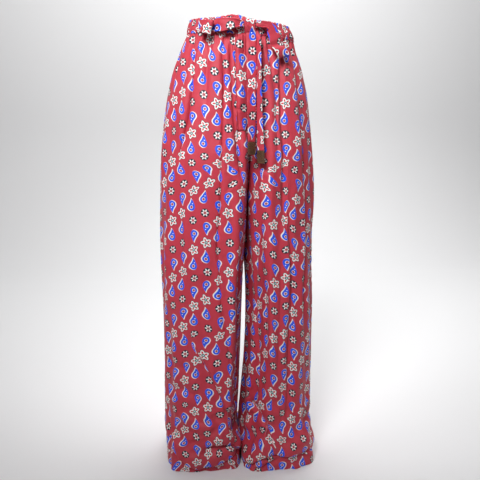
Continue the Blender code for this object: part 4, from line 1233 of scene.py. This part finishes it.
def tie(name, node, strands, steps, crumple, place, cloth):
    """One stretch of the belt: a pressed tube of cloth, crumpled where crumple is large. place is where it
    begins on the flat cloth."""
    rng = np.random.default_rng(int(place[0] * 1e5))
    path, across, face, width = strand_frames(strands, steps)
    q, t = boxy(full_turn(AROUND_TIE), 0.42, 0.55)
    length = run_along(path)[-1]
    run = run_along(path)[:, None]
    rumple = crumple(run / length)
    creases = waves(rng, q * 0.010, run, 0.0075, 0.09, 5) * 0.0011 * rumple
    creases = creases + waves(rng, q * 0.010, run, 0.030, 0.030, 4) * 0.0004
    cup = 0.0012 * rumple * (1 - q**2)
    half = width[:, None] / 2 * (1 + 0.03 * waves(rng, run * 0, run, 1.0, 0.022, 4))

    def wall(depth):
        """The tube's surface at a depth within its wall."""
        wide = (q * (half - depth))[:, :, None]
        thick = (t * (TIE_CLOTH / 2 - depth) + creases + cup)[:, :, None]
        return path[:, None] + across[:, None] * wide + face[:, None] * thick

    flat_u = q * width[:, None] / 2 + np.where(t < 0, TIE_BACK_U, 0.0)
    places = np.stack(np.broadcast_arrays(flat_u, -run), axis=2) + place
    obj = wall_object(name, wall(0.0), wall(TIE_WALL), places, cloth, ring=True)
    keep(obj, "printed_silk", node)
    return path, across


KNOT_AROUND = 72
KNOT_ROWS = 36


def knot(cloth):
    """The belt's wrap over the middle of the bow, pulled tight in slanting creases."""
    angle = full_turn(KNOT_AROUND)
    c, s = np.cos(angle), np.sin(angle)
    round_x, round_y = boxy(angle, 0.42, 0.36)
    knots, sides = np.array([row.z for row in KNOT]), np.array([row[1:] for row in KNOT])
    outer, inner, places = [], [], []
    for k, z in enumerate(np.linspace(KNOT[0].z, KNOT[-1].z, KNOT_ROWS)):
        right, left, front = through(knots, sides, z)
        point, along, out, _ = ring_frame((right + left) / 2, z)
        end = math.sqrt(max(1 - max(2 * k / (KNOT_ROWS - 1) - 1, 0.0) ** 6, 0.09))
        half_width = (left - right) / 2 * (0.9 + 0.1 * end)
        half_depth = (front - KNOT_BACK_LIFT) / 2 * end
        centre = point + out * (KNOT_BACK_LIFT + front) / 2
        wrinkle = 0.0007 * np.sin(9 * c + 420 * z + 1.0) + 0.0005 * np.sin(16 * c - 260 * z)
        across = round_x * half_width
        reach = half_depth * round_y - np.where(s > 0.1, wrinkle, 0.0)
        thinner = 1 - KNOT_CLOTH / np.hypot(half_width, half_depth)
        for rings, scale in ((outer, 1.0), (inner, thinner)):
            rings.append(centre + np.outer(across * scale, along) + np.outer(reach * scale, out))
        places.append(np.column_stack([across, np.full(KNOT_AROUND, z - KNOT[0].z)]) + TAIL_A_PLACE)
    outer, inner, places = np.array(outer), np.array(inner), np.array(places)
    obj = wall_object("bow_knot_cloth", outer, inner, places, cloth, ring=True)
    keep(obj, "printed_silk", "bow_knot")


# the lines of stitching on each face of a tip: start and end, each a share of the half width and a distance
# down from the mouth
TIP_STITCHES = [
    ((-0.80, 0.0028), (0.80, 0.0028)),
    ((-0.80, 0.0045), (0.80, 0.0045)),
    ((-0.82, 0.0030), (-0.82, 0.0240)),
    ((0.82, 0.0030), (0.82, 0.0240)),
    ((-0.80, 0.0240), (0.80, 0.0240)),
]
TIP_AROUND = 64
TIP_RINGS = 34
TIP_ROUNDING = 0.0012


def tip(name, node, frames, hide, sewn):
    """A leather tip: a folded sleeve with rounded edges, stitched near its mouth and along its sides."""
    path, across = frames
    down = unit(path[-1] - path[-2])
    across = unit(across[-1] - down * across[-1].dot(down))
    face = np.cross(down, across)
    q, t = boxy(full_turn(TIP_AROUND), 0.30, 0.45)
    rings = []
    for share in 0.5 - 0.5 * np.cos(np.linspace(0.0, np.pi, TIP_RINGS)):
        ends = min(share, 1 - share) * TIP_LENGTH
        size = math.sqrt(min(ends / TIP_ROUNDING, 1.0) * (2 - min(ends / TIP_ROUNDING, 1.0)))
        wide = TIP_WIDTH / 2 - 0.0010 * (1 - size)
        pillow = 1.0 - 0.10 * bump((ends - 0.0028) / 0.0006)
        deep = TIP_THICKNESS / 2 * (0.55 + 0.45 * size) * pillow
        middle = path[-1] + down * (SEAM + share * TIP_LENGTH)
        rings.append(middle + np.outer(q * wide, across) + np.outer(t * deep, face))
    faces = tube_faces(TIP_RINGS, TIP_AROUND)
    keep(mesh_object(name, np.concatenate(rings), faces, hide), "brown_leather", node)
    lines = []
    shares = np.linspace(0.0, 1.0, 12)[:, None]
    for out in (face, -face):
        for start, end in TIP_STITCHES:
            spot = (1 - shares) * np.array(start) + shares * np.array(end)
            line = path[-1] + down * (SEAM + spot[:, 1:]) + across * spot[:, :1] * TIP_WIDTH / 2
            lines.append((line + out * (TIP_THICKNESS / 2 - 0.0002), np.repeat(out[None], 12, axis=0)))
    keep(stitches(name + "_stitches", lines, sewn), "brown_leather")


Lamp = namedtuple("Lamp", "name place aim size spread power")
LAMPS = [
    Lamp("key", (-0.58, -1.30, 0.86), (0.0, 0.0, -0.26), 0.60, 50.0, 3.75),
    Lamp("fill_right", (-1.65, -0.35, 0.35), (-0.10, 0.0, -0.25), 0.50, 60.0, 0.5),
    Lamp("fill_left", (1.65, -0.35, 0.35), (0.10, 0.0, -0.25), 0.50, 60.0, 0.5),
    Lamp("back", (0.6, 1.9, 1.4), (0.0, 0.0, -0.3), 1.4, 180.0, 6.0),
    Lamp("wall", (0.3, 0.7, 1.8), (0.4, 2.4, 0.0), 1.8, 180.0, 70.0),
]


STAGE_FRONT_Y = -3.0
STAGE_HALF_WIDTH = 4.0
STAGE_DROP = 0.0005  # how far the floor lies below the hems
CURVE_Y = 1.6  # where the floor starts to curve up
CURVE_RADIUS = 0.8
WALL_HEIGHT = 4.0


def stage():
    """A pale floor that curves up into a pale wall."""
    profile = [(STAGE_FRONT_Y, 0.0), (CURVE_Y, 0.0)]
    for angle in np.linspace(0.0, np.pi / 2, 16)[1:]:
        profile.append((CURVE_Y + math.sin(angle) * CURVE_RADIUS, (1 - math.cos(angle)) * CURVE_RADIUS))
    profile.append((CURVE_Y + CURVE_RADIUS, WALL_HEIGHT))
    sides = (-STAGE_HALF_WIDTH, STAGE_HALF_WIDTH)
    points = [(x, y, FLOOR_Z - STAGE_DROP + z) for y, z in profile for x in sides]
    faces = [(2 * k, 2 * k + 1, 2 * k + 3, 2 * k + 2) for k in range(len(profile) - 1)]
    mesh = bpy.data.meshes.new("studio")
    mesh.from_pydata(points, [], faces)
    mesh.shade_smooth()
    made, tree, shader = new_material("studio_paper")
    set_inputs(tree, shader, {"Base Color": (0.85, 0.85, 0.855, 1.0), "Roughness": 0.9})
    mesh.materials.append(made)
    obj = placed("studio", mesh)


def lighting():
    """Soft studio light: one key, two weak fills, one light behind and one on the wall."""
    world = bpy.data.worlds.new("studio_light")
    bpy.context.scene.world = world
    world.use_nodes = True
    sky = world.node_tree.nodes["Background"]
    set_inputs(world.node_tree, sky, {"Color": (0.98, 0.99, 1.0, 1.0), "Strength": 0.05})
    bpy.context.scene.view_settings.view_transform = "Standard"
    for lamp in LAMPS:
        data = bpy.data.lights.new(lamp.name, "AREA")
        data.size = lamp.size
        data.spread = math.radians(lamp.spread)
        data.energy = lamp.power
        light = placed(lamp.name, data)
        light.location = lamp.place
        east, north, up = np.array(lamp.aim) - np.array(lamp.place)
        tilt = math.atan2(math.hypot(east, north), -up)
        light.rotation_euler = (tilt, 0.0, math.atan2(north, east) - np.pi / 2)


CAMERA_TURN = math.radians(-8)  # towards the wearer's right
CAMERA_TILT = math.radians(-11.5)
CAMERA_DISTANCE = 1.40
CAMERA_Z = -0.18


def camera():
    """The view from hip height, slightly to the wearer's right, looking a little down."""
    data = bpy.data.cameras.new("camera")
    data.sensor_width = 36.0
    data.lens = 46.05
    data.shift_x = 0.0052
    obj = placed("camera", data)
    reach = CAMERA_DISTANCE
    obj.location = (reach * math.sin(CAMERA_TURN), -reach * math.cos(CAMERA_TURN), CAMERA_Z)
    obj.rotation_euler = (math.pi / 2 + CAMERA_TILT, 0.0, CAMERA_TURN)
    bpy.context.scene.camera = obj


Tie = namedtuple("Tie", "node strands place")
LOOPS = [
    Tie("bow_loop_right", LOOP_RIGHT, np.array([0.0040, 0.0130])),
    Tie("bow_loop_left", LOOP_LEFT, np.array([0.0310, 0.0020])),
]
TAILS = [
    Tie("tie_tail_a", TAIL_A, TAIL_A_PLACE),
    Tie("tie_tail_b", TAIL_B, np.array([0.0025, 0.0090])),
]


def crumpled_ends(share):
    """Crumple of a loop, which the knot gathers at both ends."""
    return 0.15 + bump(share / 0.10) + bump((1 - share) / 0.10)


def crumpled_top(share):
    """Crumple of a free end, which the knot gathers at its top."""
    return 0.15 + 0.5 * bump(share / 0.10)


def main():
    """Builds every piece, the stage, the lights and the camera."""
    silk = printed_silk("printed_silk_twill")
    hide = leather("brown_leather_grain")
    red_thread = thread("crimson_thread", (0.42, 0.03, 0.05))
    brown_thread = thread("brown_thread", (0.22, 0.13, 0.06))
    panels = leg_panels(silk)
    band = waistband(silk)
    fly = fly_placket(panels, silk)
    seam_threads(panels, fly, band, red_thread)
    knot(silk)
    for loop in LOOPS:
        tie(loop.node + "_cloth", loop.node, loop.strands, LOOP_STEPS, crumpled_ends, loop.place, silk)
    for tail in TAILS:
        name, letter = tail.node + "_cloth", tail.node[-1]
        frames = tie(name, tail.node, tail.strands, TAIL_STEPS, crumpled_top, tail.place, silk)
        tip("leather_tip_" + letter, "tip_" + letter, frames, hide, brown_thread)
    stage()
    lighting()
    camera()


main()
